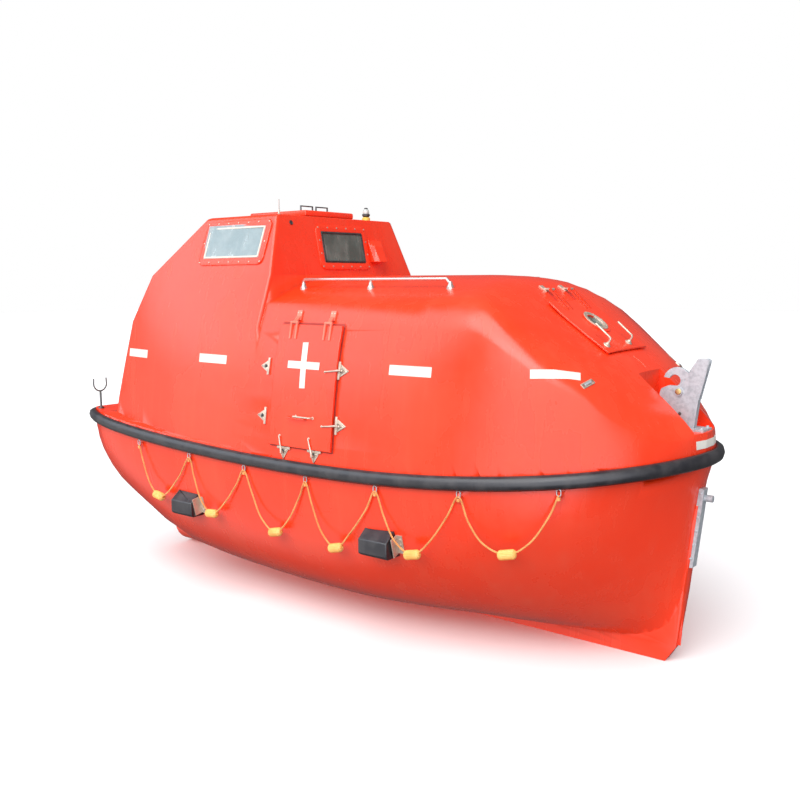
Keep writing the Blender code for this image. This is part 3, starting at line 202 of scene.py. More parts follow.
def choose(obj, kind="FACE", test=lambda element: True):
    """Go into edit mode and select just the faces, edges or vertices that pass a test."""
    bpy.ops.object.mode_set(mode="EDIT")
    bpy.ops.mesh.select_mode(type=kind)
    bpy.ops.mesh.select_all(action="DESELECT")
    bm = bmesh.from_edit_mesh(obj.data)
    for element in {"FACE": bm.faces, "EDGE": bm.edges, "VERT": bm.verts}[kind]:
        if test(element):
            element.select_set(True)
    bm.select_flush_mode()
    bmesh.update_edit_mesh(obj.data)


def shade(angle):
    """Leave edit mode and shade the piece smooth, with edges sharp past an angle in degrees."""
    bpy.ops.object.mode_set(mode="OBJECT")
    bpy.ops.object.shade_smooth_by_angle(angle=math.radians(angle))


def extruded(way):
    """Extrude what is selected."""
    bpy.ops.mesh.extrude_region_move(TRANSFORM_OT_translate={"value": way})


def settle(obj):
    """Apply a piece's modifiers and leave its place in its mesh."""
    pick(obj)
    for mod in list(obj.modifiers):
        bpy.ops.object.modifier_apply(modifier=mod.name)
    bpy.ops.object.transform_apply()
    return obj


def joined(name, *objs):
    """Several meshes as one piece."""
    bpy.ops.object.select_all(action="DESELECT")
    for obj in objs:
        obj.select_set(True)
    bpy.context.view_layer.objects.active = objs[0]
    if len(objs) > 1:
        bpy.ops.object.join()
    bpy.ops.object.transform_apply()
    objs[0].name = name
    return objs[0]


def facing(point, normal, lift=0.0, up=(0, 0, 1)):
    """A place a little off a point, with Z along a normal and Y as near as it can be to up."""
    z = Vector(normal).normalized()
    x = Vector(up).cross(z).normalized()
    spin = Matrix((x, z.cross(x), z)).transposed().to_4x4()
    return shift(Vector(point) + z * lift) @ spin


def in_a_row(obj, count, step):
    """Repeat a piece at even steps."""
    row = obj.modifiers.new("row", "ARRAY")
    row.count = count
    row.use_relative_offset = False
    row.use_constant_offset = True
    row.constant_offset_displace = step
    return obj


WEAR_VALUES = ("Patch Size", "Patches", "Runs", "Grain Size", "Roughness", "Unevenness")
UNEVENNESS = 0.1         # where a finish doesn't give its own


def wear_group():
    """Uneven colour, runs of dirt and fine grain for any finish, in object space."""
    tree = bpy.data.node_groups.new("wear", "ShaderNodeTree")
    for label, kind, way in (("Colour", "Color", "INPUT"), ("Worn", "Color", "INPUT"),
                              *((label, "Float", "INPUT") for label in WEAR_VALUES),
                              ("Colour", "Color", "OUTPUT"), ("Roughness", "Float", "OUTPUT"),
                              ("Height", "Float", "OUTPUT")):
        tree.interface.new_socket(name=label, in_out=way, socket_type="NodeSocket" + kind)
    ins = tree.nodes.new("NodeGroupInput").outputs
    outs = tree.nodes.new("NodeGroupOutput").inputs
    where = shader(tree, "TexCoord", out="Object")
    patch = shader(tree, "TexNoise", {"Vector": where, "Scale": ins["Patch Size"], "Detail": 5.0,
                                      "Roughness": 0.55})
    patch = shader(tree, "MapRange", [patch, 0.38, 0.68], interpolation_type="SMOOTHSTEP")
    patch = shader(tree, "Math", [patch, ins["Patches"]], operation="MULTIPLY")
    tall = shader(tree, "Mapping", {"Vector": where, "Scale": (9.0, 9.0, 0.7)})
    runs = shader(tree, "TexNoise", {"Vector": tall, "Scale": 1.4, "Detail": 6.0})
    runs = shader(tree, "MapRange", [runs, 0.52, 0.75])
    worn = shader(tree, "Math", [runs, ins["Runs"], patch], operation="MULTIPLY_ADD", use_clamp=True)
    colour = shader(tree, "Mix", {0: worn, 6: ins["Colour"], 7: ins["Worn"]}, out=2, data_type="RGBA")
    grain = shader(tree, "TexNoise", {"Vector": where, "Scale": ins["Grain Size"], "Detail": 3.0})
    speck = shader(tree, "MapRange", [grain, 0.2, 0.8, 0.94, 1.05])
    colour = shader(tree, "VectorMath", [colour, speck], operation="MULTIPLY")
    rough = shader(tree, "Math", [worn, ins["Unevenness"], ins["Roughness"]], operation="MULTIPLY_ADD")
    for label, socket in (("Colour", colour), ("Roughness", rough), ("Height", grain)):
        tree.links.new(socket, outs[label])
    return tree


WEAR = wear_group()


def coat(name, colour, worn, wear):
    """A material whose colour and roughness come from the wear group. wear is in WEAR_VALUES' order."""
    material = bpy.data.materials.new(name)
    material.use_nodes = True
    tree = material.node_tree
    sockets = tree.nodes["Principled BSDF"].inputs
    feeds = dict(zip(WEAR_VALUES, (*wear, UNEVENNESS)), Colour=(*colour, 1), Worn=(*worn, 1))
    group = shader(tree, "Group", feeds, node_tree=WEAR).node
    tree.links.new(group.outputs["Colour"], sockets["Base Color"])
    tree.links.new(group.outputs["Roughness"], sockets["Roughness"])
    return material, sockets, group.outputs["Height"]


def finish(name, slot, colour, worn, wear, metallic=0.0, bump=0.1, depth=0.001, **more):
    """A worn coat with a fine grain. Its slot argument is not used."""
    material, sockets, height = coat(name, colour, worn, wear)
    tree = material.node_tree
    lift = shader(tree, "Bump", {"Height": height, "Strength": bump, "Distance": depth})
    lift.node.name = "lift"
    tree.links.new(lift, sockets["Normal"])
    sockets["Metallic"].default_value = metallic
    for key, value in more.items():
        sockets[key.replace("_", " ")].default_value = value
    return material


def dress(obj, *materials, body="boat"):
    """Give a piece its materials and the body that carries it."""
    obj.data.materials.clear()
    for material in materials:
        obj.data.materials.append(material)
    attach(obj, body)
    return obj


def copies(pattern, places, name, material, body="boat"):
    """Put a copy of a modelled piece at each place, and join and dress them as one piece."""
    settle(pattern)
    made = []
    for place in places:
        twin = bpy.data.objects.new(name, pattern.data.copy())
        twin.matrix_world = place
        link(twin)
        made.append(twin)
    bpy.data.objects.remove(pattern, do_unlink=True)
    return dress(joined(name, *made), material, body=body)


def through(points):
    """Points on a smooth curve through the route, and how far along it each one is."""
    knots = [Vector(p) for p in points]
    knots = [knots[0] * 2 - knots[1]] + knots + [knots[-1] * 2 - knots[-2]]
    fine = []
    for a, b, c, d in zip(knots, knots[1:], knots[2:], knots[3:]):
        for i in range(CURVE_STEPS):
            t = i / CURVE_STEPS
            fine.append(0.5 * (2 * b + (c - a) * t + (2 * a - 5 * b + 4 * c - d) * t * t
                               + (3 * b - a - 3 * c + d) * t ** 3))
    fine.append(knots[-2])
    run = [0.0]
    for p, q in zip(fine, fine[1:]):
        run.append(run[-1] + (q - p).length)
    return fine, run


def spoke(angle, length):
    """A step off a rope's line, in a plane across it."""
    return Vector((-math.sin(angle), math.cos(angle), 0)) * length


def laid_rope(name, fine, run):
    """Strands laid round a line, each a closed tube, as one mesh."""
    bm = bmesh.new()
    count = int(run[-1] / ROPE_STEP)
    strand_radius = ROPE / 2 * STRAND_SHARE
    strands = [[] for _ in range(STRANDS)]
    k = 0
    for i in range(count + 1):
        s = min(run[-1] * i / count, run[-1] - 1e-7)
        while run[k + 1] < s:
            k += 1
        centre = fine[k].lerp(fine[k + 1], (s - run[k]) / (run[k + 1] - run[k]))
        way = fine[min(k + 2, len(fine) - 1)] - fine[max(k - 1, 0)]
        place = facing(centre, way, up=(0, 1, 0))
        for n, strand in enumerate(strands):
            turn = 2 * math.pi * (s / ROPE_LAY + n / STRANDS)
            middle = spoke(turn, ROPE / 2 - strand_radius)
            angles = [turn + 2 * math.pi * j / STRAND_SIDES for j in range(STRAND_SIDES)]
            strand.append([bm.verts.new(place @ (middle + spoke(a, strand_radius))) for a in angles])
    for strand in strands:
        for a, b in zip(strand, strand[1:]):
            for j in range(STRAND_SIDES):
                after = (j + 1) % STRAND_SIDES
                bm.faces.new((a[j], a[after], b[after], b[j]))
        bm.faces.new(strand[0][::-1])
        bm.faces.new(strand[-1])
    bmesh.ops.recalc_face_normals(bm, faces=bm.faces)
    mesh = bpy.data.meshes.new(name)
    bm.to_mesh(mesh)
    bm.free()
    mesh.shade_smooth()
    rope = bpy.data.objects.new(name, mesh)
    link(rope)
    return rope


ROPE_FIBRE = finish(
    "laid_polypropylene", "orange_rope", (0.95, 0.42, 0.12), (0.60, 0.20, 0.03),
    (14.0, 0.5, 0.2, 900.0, 0.62), bump=0.5, depth=0.0006, Sheen_Weight=0.3)
FLOAT_PLASTIC = finish(
    "float_plastic", "orange_rope", (1.0, 0.56, 0.16), (0.72, 0.28, 0.03),
    (20.0, 0.35, 0.15, 260.0, 0.38), bump=0.15)
GALVANISED = finish(
    "galvanised_zinc", "galvanised_steel", (0.50, 0.53, 0.56), (0.33, 0.35, 0.38),
    (38.0, 0.75, 0.35, 300.0, 0.46, 0.20), metallic=0.30, bump=0.25)


def drum(sides, radius, depth, middle=0.0, **options):
    """A cylinder about Z, with its middle at some height."""
    return primitive(bpy.ops.mesh.primitive_cylinder_add, vertices=sides, radius=radius, depth=depth,
                     location=(0, 0, middle), **options)


def float_pattern():
    """An oval float: a drum with rounded shoulders and a hole at each end for the rope."""
    obj = drum(20, FLOAT_RADIUS, 2 * FLOAT_HALF)
    choose(obj, "FACE", lambda f: abs(f.normal.z) > 0.9)
    bpy.ops.mesh.inset(thickness=FLOAT_RADIUS * 0.62, depth=0)
    extruded((0, 0, 0))
    bpy.ops.transform.resize(value=(0.7, 0.7, 0.90))
    choose(obj, "EDGE", lambda e: all(abs(abs(v.co.z) - FLOAT_HALF) < 1e-4
                                      and v.co.xy.length > FLOAT_RADIUS * 0.9 for v in e.verts))
    bpy.ops.mesh.bevel(offset=FLOAT_RADIUS * 0.72, segments=5)
    shade(50)
    return obj


def eye_pattern():
    """A pad eye: a bent bar with two feet, hanging down from under the fender."""
    obj = settle(primitive(bpy.ops.mesh.primitive_torus_add, major_radius=EYE_RADIUS, minor_radius=0.0032,
                           major_segments=24, minor_segments=8, rotation=(math.radians(90), 0, 0)))
    choose(obj, "VERT", lambda v: v.co.z > 0)
    bpy.ops.transform.translate(value=(0, 0, EYE_DROP))
    bpy.ops.object.mode_set(mode="OBJECT")
    bpy.ops.object.shade_smooth()
    return obj


def seizing_pattern():
    """Turns of thin twine that hold the two parts of the rope together below an eye."""
    obj = primitive(bpy.ops.mesh.primitive_torus_add, major_radius=0.0088, minor_radius=0.0022,
                    major_segments=20, minor_segments=6)
    bpy.ops.object.shade_smooth()
    return in_a_row(obj, SEIZING_TURNS, (0, 0, -0.0038))


for side, hand in SIDES:
    fine, run = through([(x, hand * y, KEEL + z) for x, y, z in ROPE_ROUTE])
    rope = dress(laid_rope("rope_" + side, fine, run), ROPE_FIBRE)
    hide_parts("lifeline_" + side)
    hitches = fine[::6 * CURVE_STEPS]
    bights = range(3 * CURVE_STEPS, len(fine), 6 * CURVE_STEPS)
    floats = copies(float_pattern(), [facing(fine[i], fine[i + 1] - fine[i], up=(0, 1, 0)) for i in bights],
                    "floats_" + side, FLOAT_PLASTIC)
    twine = copies(seizing_pattern(), [shift(spot - TWINE_DROP) for spot in hitches],
                   "seizings_" + side, ROPE_FIBRE)
    copies(eye_pattern(), [shift(spot + EYE_LIFT) for spot in hitches], "pad_eyes_" + side, GALVANISED)


# Hull and canopy. Two mouldings of glass and resin behind orange gelcoat, bolted together
# under the fender and left as they came off the mould, with a pale flow coat inside.
MERGE = 0.00002            # corners nearer to each other than this are one
RAY_START = 0.05           # how far off a face the rays that look round from it start
FLAT_EDGE = math.radians(0.5)         # faces that meet at less than this are one flat
WALL_LEAN = 0.14           # upward part of the normal that the canopy's wall is shaded with

GELCOAT = finish(
    "orange_gelcoat_gloss", "orange_gelcoat", (0.95, 0.044, 0.009), (0.90, 0.075, 0.028),
    (1.7, 0.42, 0.30, 420.0, 0.24, 0.16), bump=0.05, depth=0.0006, Coat_Weight=0.10, Coat_Roughness=0.17)
tree = GELCOAT.node_tree
where = shader(tree, "TexCoord", out="Object")
swell = shader(tree, "TexNoise", {"Vector": where, "Scale": 3.2, "Detail": 2.0})
unfair = shader(tree, "Bump", {"Height": swell, "Strength": 0.35, "Distance": 0.012})
tree.links.new(unfair, tree.nodes["lift"].inputs["Normal"])
FLOW_COAT = finish(
    "pale_flow_coat", "pale_inner_gelcoat", (0.78, 0.75, 0.68), (0.58, 0.54, 0.46),
    (2.5, 0.4, 0.3, 60.0, 0.45), bump=0.4, depth=0.003)


def shell_tree():
    """Both mouldings' faces, to tell what looks into the boat from what looks out of it."""
    spots, faces = [], []
    for node in ("hull", "canopy"):
        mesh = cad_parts[node].data
        faces += [[v + len(spots) for v in face.vertices] for face in mesh.polygons]
        spots += [v.co.copy() for v in mesh.vertices]
    return BVHTree.FromPolygons(spots, faces)


SHELL = shell_tree()
SIX_WAYS = [Vector(way) * sign for way in ((1, 0, 0), (0, 1, 0), (0, 0, 1)) for sign in (1, -1)]


def refined(node, *materials, body="boat", angle=28, flatten=True, ending="_finished"):
    """A CAD piece's copy that replaces it: merged, smoothed and dressed, with its flats as one face."""
    obj = bpy.data.objects.new(node + ending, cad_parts[node].data.copy())
    link(obj)
    pick(obj)
    choose(obj)
    bpy.ops.mesh.remove_doubles(threshold=MERGE)
    if flatten:
        bpy.ops.mesh.dissolve_limited(angle_limit=FLAT_EDGE)
    shade(angle)
    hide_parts(node)
    return dress(obj, *materials, body=body)


def moulding(node, axis_height, outside, flat):
    """One of the boat's two mouldings, with its inner faces and its flat walls told apart."""
    obj = refined(node, GELCOAT, FLOW_COAT, flatten=False, ending="_moulding")
    for face in obj.data.polygons:
        centre = Vector(face.center)
        axis = Vector((centre.x, 0, KEEL + axis_height))
        inward = face.normal.dot(centre - axis) < 0.02 or abs(centre.y) < 0.85
        start = centre + face.normal * RAY_START
        enclosed = sum(SHELL.ray_cast(start, way)[0] is not None for way in SIX_WAYS) > 4
        face.material_index = int(inward and enclosed and not outside(centre))
        if flat(centre, face.normal):
            face.use_smooth = False
    weigh = obj.modifiers.new("weigh", "WEIGHTED_NORMAL")
    weigh.keep_sharp = True
    weigh.weight = 50
    pick(obj)
    bpy.ops.object.modifier_apply(modifier=weigh.name)
    return obj


hull = moulding("hull", 1.0, lambda c: c.x < -2.47 or c.z > KEEL + 1.35, lambda c, n: False)
canopy = moulding("canopy", 1.55,
                  lambda c: (c.x > 2.03 or (c.x < -2.0 and abs(c.y) < 0.17)
                             or (c.z < KEEL + 1.45 and abs(c.y) > 1.0)),
                  lambda c, n: max(map(abs, n)) > 0.9995 and abs(c.y) < 0.172 and abs(c.x) > 2.0)

# The foot of the canopy's wall aft is shaded as the wall above it, because its long thin triangles
# would mirror in spikes.
turned = [Vector(corner.vector) for corner in canopy.data.corner_normals]
for face in canopy.data.polygons:
    x, y, z = face.center
    if x < -0.42 and abs(y) > 0.85 and z < KEEL + 1.66 and face.normal.y * y > 0 and abs(face.normal.z) < 0.3:
        for corner in face.loop_indices:
            turned[corner] = Vector((turned[corner].x, turned[corner].y, WALL_LEAN)).normalized()
canopy.data.normals_split_custom_set(turned)


# Fender. An extruded D of black rubber on a channel all round the joint, butted at the stem and
# screwed through its lower flange.
RUBBER = finish(
    "fender_rubber", "black_rubber", (0.022, 0.021, 0.026), (0.065, 0.060, 0.062),
    (7.0, 0.55, 0.3, 180.0, 0.33, 0.25), bump=0.25, depth=0.0015)
refined("fender", RUBBER, angle=62, flatten=False, ending="_moulding")


# Tape. Strips of white retro-reflective tape stuck along the canopy on both sides and across
# the bow, and a cross of it on each side door.
TAPE_THICK = 0.0012
TAPE_WIDTH = 0.064
# Columns: x of the middle, height of the middle, length
TAPE_STRIPS = [(-1.895, 1.842, 0.300), (-0.885, 1.852, 0.310), (0.930, 1.862, 0.320)]
# Columns: name, length, which way the strip's width runs, how far it lies over the strip under it
CROSS_STRIPS = [("upright", 0.310, (1, 0, 0.04), 0), ("level", 0.290, (0, 0, 1), TAPE_THICK)]

TAPE = finish(
    "reflective_tape", "orange_gelcoat", (0.80, 0.77, 0.70), (0.62, 0.58, 0.52),
    (9.0, 0.35, 0.25, 700.0, 0.42), bump=0.2, depth=0.0004)


def meet(obj, x, y, height, way):
    """Where a line from some spot meets a piece, and which way the piece faces there."""
    hit, spot, normal, _ = obj.ray_cast(Vector((x, y, KEEL + height)), Vector(way))
    if not hit:
        raise RuntimeError(f"{obj.name} isn't met from {x}, {y}, {height}")
    return spot, normal


def beside(obj, hand, x, height):
    """Where a line from well off one side meets a piece."""
    return meet(obj, x, hand * 1.6, height, (0, -hand, 0))


def sized(obj, size):
    """Stretch a new piece to a size and leave its place and size in its mesh."""
    bpy.ops.transform.resize(value=size)
    bpy.ops.object.transform_apply()
    return obj


def laid_on(obj, under, gap, thickness):
    """Project a flat sheet down onto a piece, and thicken it outwards."""
    wrap = obj.modifiers.new("bed", "SHRINKWRAP")
    wrap.target = under
    wrap.wrap_method = "PROJECT"
    wrap.use_project_z = True
    wrap.use_negative_direction = True
    wrap.use_positive_direction = False
    wrap.offset = gap
    thick = obj.modifiers.new("thickness", "SOLIDIFY")
    thick.thickness = thickness
    thick.offset = 1


def fit(obj, place, name, material, body="boat"):
    """Put a modelled piece in its place, and name and dress it."""
    obj.matrix_world = place
    dress(settle(obj), material, body=body).name = name
    return obj


def tape(name, under, spot, normal, length, width, material=TAPE, body="boat", up=(0, 0, 1), cells=(14, 3),
         lift=0.0):
    """A strip laid on a piece, following its curve."""
    strip = sized(primitive(bpy.ops.mesh.primitive_grid_add, x_subdivisions=cells[0], y_subdivisions=cells[1],
                            size=1), (length, width, 1))
    laid_on(strip, under, TAPE_THICK + lift, TAPE_THICK * 0.8)
    fit(strip, facing(spot, normal, 0.05, up=up), name, material, body)


for side, hand in SIDES:
    for number, (x, height, length) in enumerate(TAPE_STRIPS, 1):
        tape(f"tape_{side}_{number}", canopy, *beside(canopy, hand, x, height), length, TAPE_WIDTH)
    tape(f"tape_{side}_bow", canopy, beside(canopy, hand, 1.840, 1.882)[0], (0.45, hand * 0.85, 0.30),
         0.286, 0.052, cells=(40, 24))
    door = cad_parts["hatch_" + side]
    for way, length, up, lift in CROSS_STRIPS:
        tape(f"cross_{side}_{way}", door, *beside(door, hand, 0.062, 1.855), length, 0.050,
             body=side + "_hatch", up=up, lift=lift)
tape("tape_stem", canopy, meet(canopy, 3.0, 0, 1.432, (-1, 0, 0))[0], (1, 0, 0), 0.330, 0.050, cells=(24, 3))


# Side doors. Curved panels moulded like the canopy, hung at the head on two strap hinges and
# pulled down on a rubber seal by dogs, whose noses ride up keeper plates on the canopy.
DOOR_AFT, DOOR_FORE, DOOR_FOOT, DOOR_HEAD = -0.215, 0.355, 1.300, 2.115
DOOR_EDGES = ((DOOR_AFT, 0), (DOOR_FORE, 0), (KEEL + DOOR_FOOT, 2), (KEEL + DOOR_HEAD, 2))
DOOR_PROUD = 0.027        # outer face of a door, off the canopy
SEAL_WIDTH = 0.028
HINGE_PLACES = (-0.075, 0.235)
HINGE_HALF = 0.0355       # half the span of a hinge, straps and barrels together
STRAP_FOOT = 2.010
HINGE_SCREWS = 2.197      # height of the screws of the hinges
SCREW_OFF = 0.013         # how far a screw is off the middle of its hinge
GRAB_ENDS = (0.030, 0.185)
GRAB_HEIGHT = 1.512
GRAB_OUT = 0.034          # how far a grab handle stands off its door
# Columns: x and height of a keeper plate, which way it points, x and height of the dog's spindle
DOGS = [
    (-0.312, 1.828, (-1, 0, 0), None), (-0.306, 1.489, (-1, 0, 0), None),
    (0.392, 1.832, (1, 0, 0), (0.262, 1.821)), (0.404, 1.477, (1, 0, 0), (0.272, 1.466)),
    (-0.082, 1.262, (0, 0, -1), (-0.106, 1.372)), (0.200, 1.264, (0, 0, -1), (0.164, 1.376)),
]

STAINLESS = finish(
    "stainless_cast", "stainless_steel", (0.64, 0.53, 0.43), (0.40, 0.32, 0.25),
    (34.0, 0.5, 0.4, 240.0, 0.34, 0.25), metallic=0.45)
BRIGHT_STEEL = finish(
    "polished_tube", "stainless_steel", (0.62, 0.52, 0.48), (0.44, 0.36, 0.32),
    (18.0, 0.3, 0.3, 500.0, 0.22, 0.2), metallic=0.60, bump=0.05)
# The hinges' red paint, made paler than the gelcoat: partly their paint, partly a painted highlight that
# lifts their shaded sides.
HINGE_PAINT_AND_HIGHLIGHT = finish(
    "hinge_paint_and_painted_highlight", "stainless_steel", (0.95, 0.22, 0.15), (0.80, 0.16, 0.10),
    (12.0, 0.4, 0.3, 300.0, 0.40))
# Dark red rubber of the door and roof seals; the same colour on the strip over each door head is a painted
# shadow.
SEAL_RUBBER_AND_SHADOW = finish(
    "seal_rubber_and_painted_shadow", "black_rubber", (0.34, 0.022, 0.012), (0.42, 0.05, 0.03),
    (12.0, 0.5, 0.2, 220.0, 0.6))
DARK_STEEL = finish(
    "dark_steel", "galvanised_steel", (0.075, 0.078, 0.082), (0.16, 0.14, 0.12),
    (30.0, 0.5, 0.3, 300.0, 0.45), metallic=0.6)


def rise(edge, axis=2):
    """How far apart an edge's ends are along an axis."""
    return abs(edge.verts[0].co[axis] - edge.verts[1].co[axis])


def soften(obj, width, test=lambda edge: True, segments=3):
    """Round the sharp edges of a piece that pass a test."""
    pick(obj)
    choose(obj, "EDGE", lambda e: e.is_manifold and e.calc_face_angle() > 0.7 and test(e))
    bpy.ops.mesh.bevel(offset=width, segments=segments, clamp_overlap=False)
    shade(34)
    return obj


def screw_head(radius, height):
    """A pan head screw with a dimple."""
    obj = drum(12, radius, height, height / 2)
    choose(obj, "FACE", lambda f: f.normal.z > 0.9)
    bpy.ops.mesh.inset(thickness=radius * 0.35, depth=height * 0.25)
    bpy.ops.mesh.inset(thickness=radius * 0.35, depth=-height * 0.35)
    shade(40)
    return obj


def hex_bolt(radius, height, washer=0.002):
    """A hexagon head on its washer."""
    obj = drum(6, radius, height, washer + height / 2)
    choose(obj, "FACE", lambda f: f.normal.z > 0.9)
    bpy.ops.mesh.inset(thickness=radius * 0.18, depth=radius * 0.10)
    bpy.ops.mesh.primitive_cylinder_add(vertices=20, radius=radius * 1.45, depth=washer,
                                        location=(0, 0, washer / 2))
    shade(30)
    return obj


def bent_rod(name, points, radii, corner=0.012):
    """A round bar bent through some points, with flat ends, as a closed mesh."""
    spots = [Vector(p) for p in points]
    line = [(spots[0], radii[0])]
    for last, spot, after, radius in zip(spots, spots[1:], spots[2:], radii[1:]):
        cut = min(corner, (last - spot).length * 0.45, (after - spot).length * 0.45)
        start, end = (spot + (other - spot).normalized() * cut for other in (last, after))
        for t in (0.0, 0.25, 0.5, 0.75, 1.0):
            line.append((start * (1 - t) ** 2 + spot * 2 * t * (1 - t) + end * t * t, radius))
    line.append((spots[-1], radii[-1]))
    curve = bpy.data.curves.new(name, "CURVE")
    curve.dimensions = "3D"
    curve.bevel_depth = 1.0
    curve.bevel_resolution = 2
    curve.use_fill_caps = True
    spline = curve.splines.new("POLY")
    spline.points.add(len(line) - 1)
    for point, (spot, radius) in zip(spline.points, line):
        point.co = (*spot, 1)
        point.radius = radius
    obj = bpy.data.objects.new(name, curve)
    link(obj)
    pick(obj)
    bpy.ops.object.convert(target="MESH")
    choose(obj)
    bpy.ops.mesh.remove_doubles(threshold=MERGE)
    bpy.ops.mesh.normals_make_consistent(inside=False)
    shade(50)
    return obj


def box(size, at=(0, 0, 0)):
    """A block with its sides along the axes."""
    return sized(primitive(bpy.ops.mesh.primitive_cube_add, size=1, location=at), size)


def hollow(width):
    """Leave a ring of some width of the one flat face that is selected, and select all of it."""
    bpy.ops.mesh.inset(thickness=width, depth=0)
    bpy.ops.mesh.delete(type="FACE")
    bpy.ops.mesh.select_all(action="SELECT")


def keeper_plate():
    """A dog's keeper: a cast arrowhead, point outwards, with a ramp bar across its back and a boss."""
    head = drum(3, 0.056, 0.007, 0.0035)
    choose(head, "EDGE", lambda e: rise(e) > 0.004)
    bpy.ops.mesh.bevel(offset=0.008, segments=3)
    choose(head, "FACE", lambda f: f.normal.z > 0.9)
    bpy.ops.mesh.inset(thickness=0.0025, depth=0.002)
    bpy.ops.mesh.inset(thickness=0.009, depth=0)
    extruded((0, 0, 0.005))
    bpy.ops.transform.resize(value=(0.55, 0.55, 1))
    bpy.ops.object.mode_set(mode="OBJECT")
    return joined("keeper", head, soften(box((0.120, 0.018, 0.014), (0, -0.026, 0.007)), 0.003))


for side, hand in SIDES:
    hatch_body = side + "_hatch"
    door_panel = refined("hatch_" + side, GELCOAT, HINGE_PAINT_AND_HIGHLIGHT, body=hatch_body)
    soften(door_panel, 0.005, lambda e: e.calc_length() > 0.06 and any(
        all(abs(v.co[axis] - at) < 0.012 for v in e.verts) for at, axis in DOOR_EDGES))
    # The hinge straps moulded on the door take the paler hinge colour, a painted highlight.
    for face in door_panel.data.polygons:
        corners = [door_panel.data.vertices[i].co for i in face.vertices]
        face.material_index = int(any(all(abs(c.x - x) < HINGE_HALF and c.z > KEEL + STRAP_FOOT
                                          for c in corners) for x in HINGE_PLACES))
    for number in (1, 2):
        refined(f"hinge_{side}_{number}", HINGE_PAINT_AND_HIGHLIGHT)

    seal = primitive(bpy.ops.mesh.primitive_plane_add, size=1)
    sized(seal, (DOOR_FORE - DOOR_AFT + 0.014, DOOR_HEAD - DOOR_FOOT + 0.016, 1))
    choose(seal)
    hollow(SEAL_WIDTH)
    bpy.ops.mesh.subdivide(number_cuts=24)
    bpy.ops.object.mode_set(mode="OBJECT")
    laid_on(seal, canopy, 0.0006, 0.0038)
    middle = ((DOOR_AFT + DOOR_FORE) / 2, hand * 1.3, KEEL + (DOOR_FOOT + DOOR_HEAD) / 2)
    fit(seal, facing(middle, (0, hand, 0)), "door_seal_" + side, SEAL_RUBBER_AND_SHADOW)

    keepers = []
    for number, (x, height, point, spindle) in enumerate(DOGS, 1):
        spot, normal = beside(canopy, hand, x, height)
        keepers.append(facing(spot, normal, 0.0004, up=point))
        if spindle is None:
            continue
        tip, tip_normal = beside(door_panel, hand, *spindle)
        nose = spot + normal * (DOOR_PROUD + 0.006) + Vector(point) * 0.010
        arm = bent_rod("arm", [tip + tip_normal * 0.011, tip.lerp(spot, 0.45) + normal * 0.020,
                               nose - Vector(point) * 0.02, nose], (0.0042, 0.0055, 0.0075, 0.0078))
        foot = bent_rod("foot", [nose, spot + normal * 0.0165], (0.0078, 0.0085))
        boss = hex_bolt(0.0085, 0.010)
        boss.matrix_world = facing(tip, tip_normal, 0.0003)
        dress(joined(f"dog_{side}_{number}", arm, foot, boss), STAINLESS, body=hatch_body)
    copies(keeper_plate(), keepers, "keepers_" + side, STAINLESS)
    bolts = [place @ shift((0, -0.004, 0.0145)) for place in keepers]
    copies(hex_bolt(0.0085, 0.006), bolts, "keeper_bolts_" + side, DARK_STEEL)
    # A thin dark strip over the door head: a painted shadow standing for the shade under the head.
    tape("door_head_painted_shadow_" + side, canopy, *beside(canopy, hand, 0.070, DOOR_HEAD + 0.013), DOOR_FORE - DOOR_AFT,
         0.013, SEAL_RUBBER_AND_SHADOW, cells=(30, 2))

    screws = [facing(*beside(canopy, hand, x + off, HINGE_SCREWS), 0.0085)
              for x in HINGE_PLACES for off in (-SCREW_OFF, SCREW_OFF)]
    copies(screw_head(0.0055, 0.003), screws, "hinge_screws_" + side, STAINLESS)

    ends = [beside(door_panel, hand, x, GRAB_HEIGHT) for x in GRAB_ENDS]
    (aft, aft_normal), (fore, fore_normal) = ends
    grab = bent_rod("grab", [aft + aft_normal * 0.001, aft + aft_normal * GRAB_OUT,
                             fore + fore_normal * GRAB_OUT, fore + fore_normal * 0.001], [0.0062] * 4)
    flanges = [hex_bolt(0.011, 0.004) for _ in ends]
    for flange, end in zip(flanges, ends):
        flange.matrix_world = facing(*end, 0.0003)
    dress(joined("grab_handle_" + side, grab, *flanges), STAINLESS, body=hatch_body)


# Tower windows. Toughened panes, each under a moulded flange that is screwed to the tower. The
# front and aft panes are bedded in black rubber, and the side panes in a bead of sealant whose pale
# colour is a painted highlight for their lit edges. The side panes' pale blue is a painted reflection of the
# sky.
PANE_PROUD = 0.0089
FLANGE_WIDE = 0.060       # how far a flange reaches outside the clear glass
FLANGE_CORNER = 0.058
BEAD_IN, BEAD_OUT = -0.010, 0.004    # how far a bead's edges lie outside it
BEAD_CORNER = 0.016
SCREWS_OUT = 0.036        # how far the screws lie outside it
SCREWS_WIDER = 0.070      # how much longer than the glass a row of screws along it is
# Columns: node, a point in front of the pane, the way to look, width, height, screws along and up
WINDOWS = [
    ("window_front", (1.0, 0.0, 2.670), (-1, 0, 0), 0.470, 0.2284, 6, 4),
    ("window_aft", (-3.0, 0.0, 2.680), (1, 0, 0), 0.520, 0.3988, 6, 5),
    ("window_starboard", (-0.9025, -1.6, 2.701), (0, 1, 0), 0.605, 0.2384, 7, 3),
    ("window_port", (-0.9025, 1.6, 2.701), (0, -1, 0), 0.605, 0.2384, 7, 3),
]

GASKET = finish(
    "window_gasket", "black_rubber", (0.030, 0.030, 0.032), (0.10, 0.10, 0.10),
    (20.0, 0.4, 0.2, 200.0, 0.55))
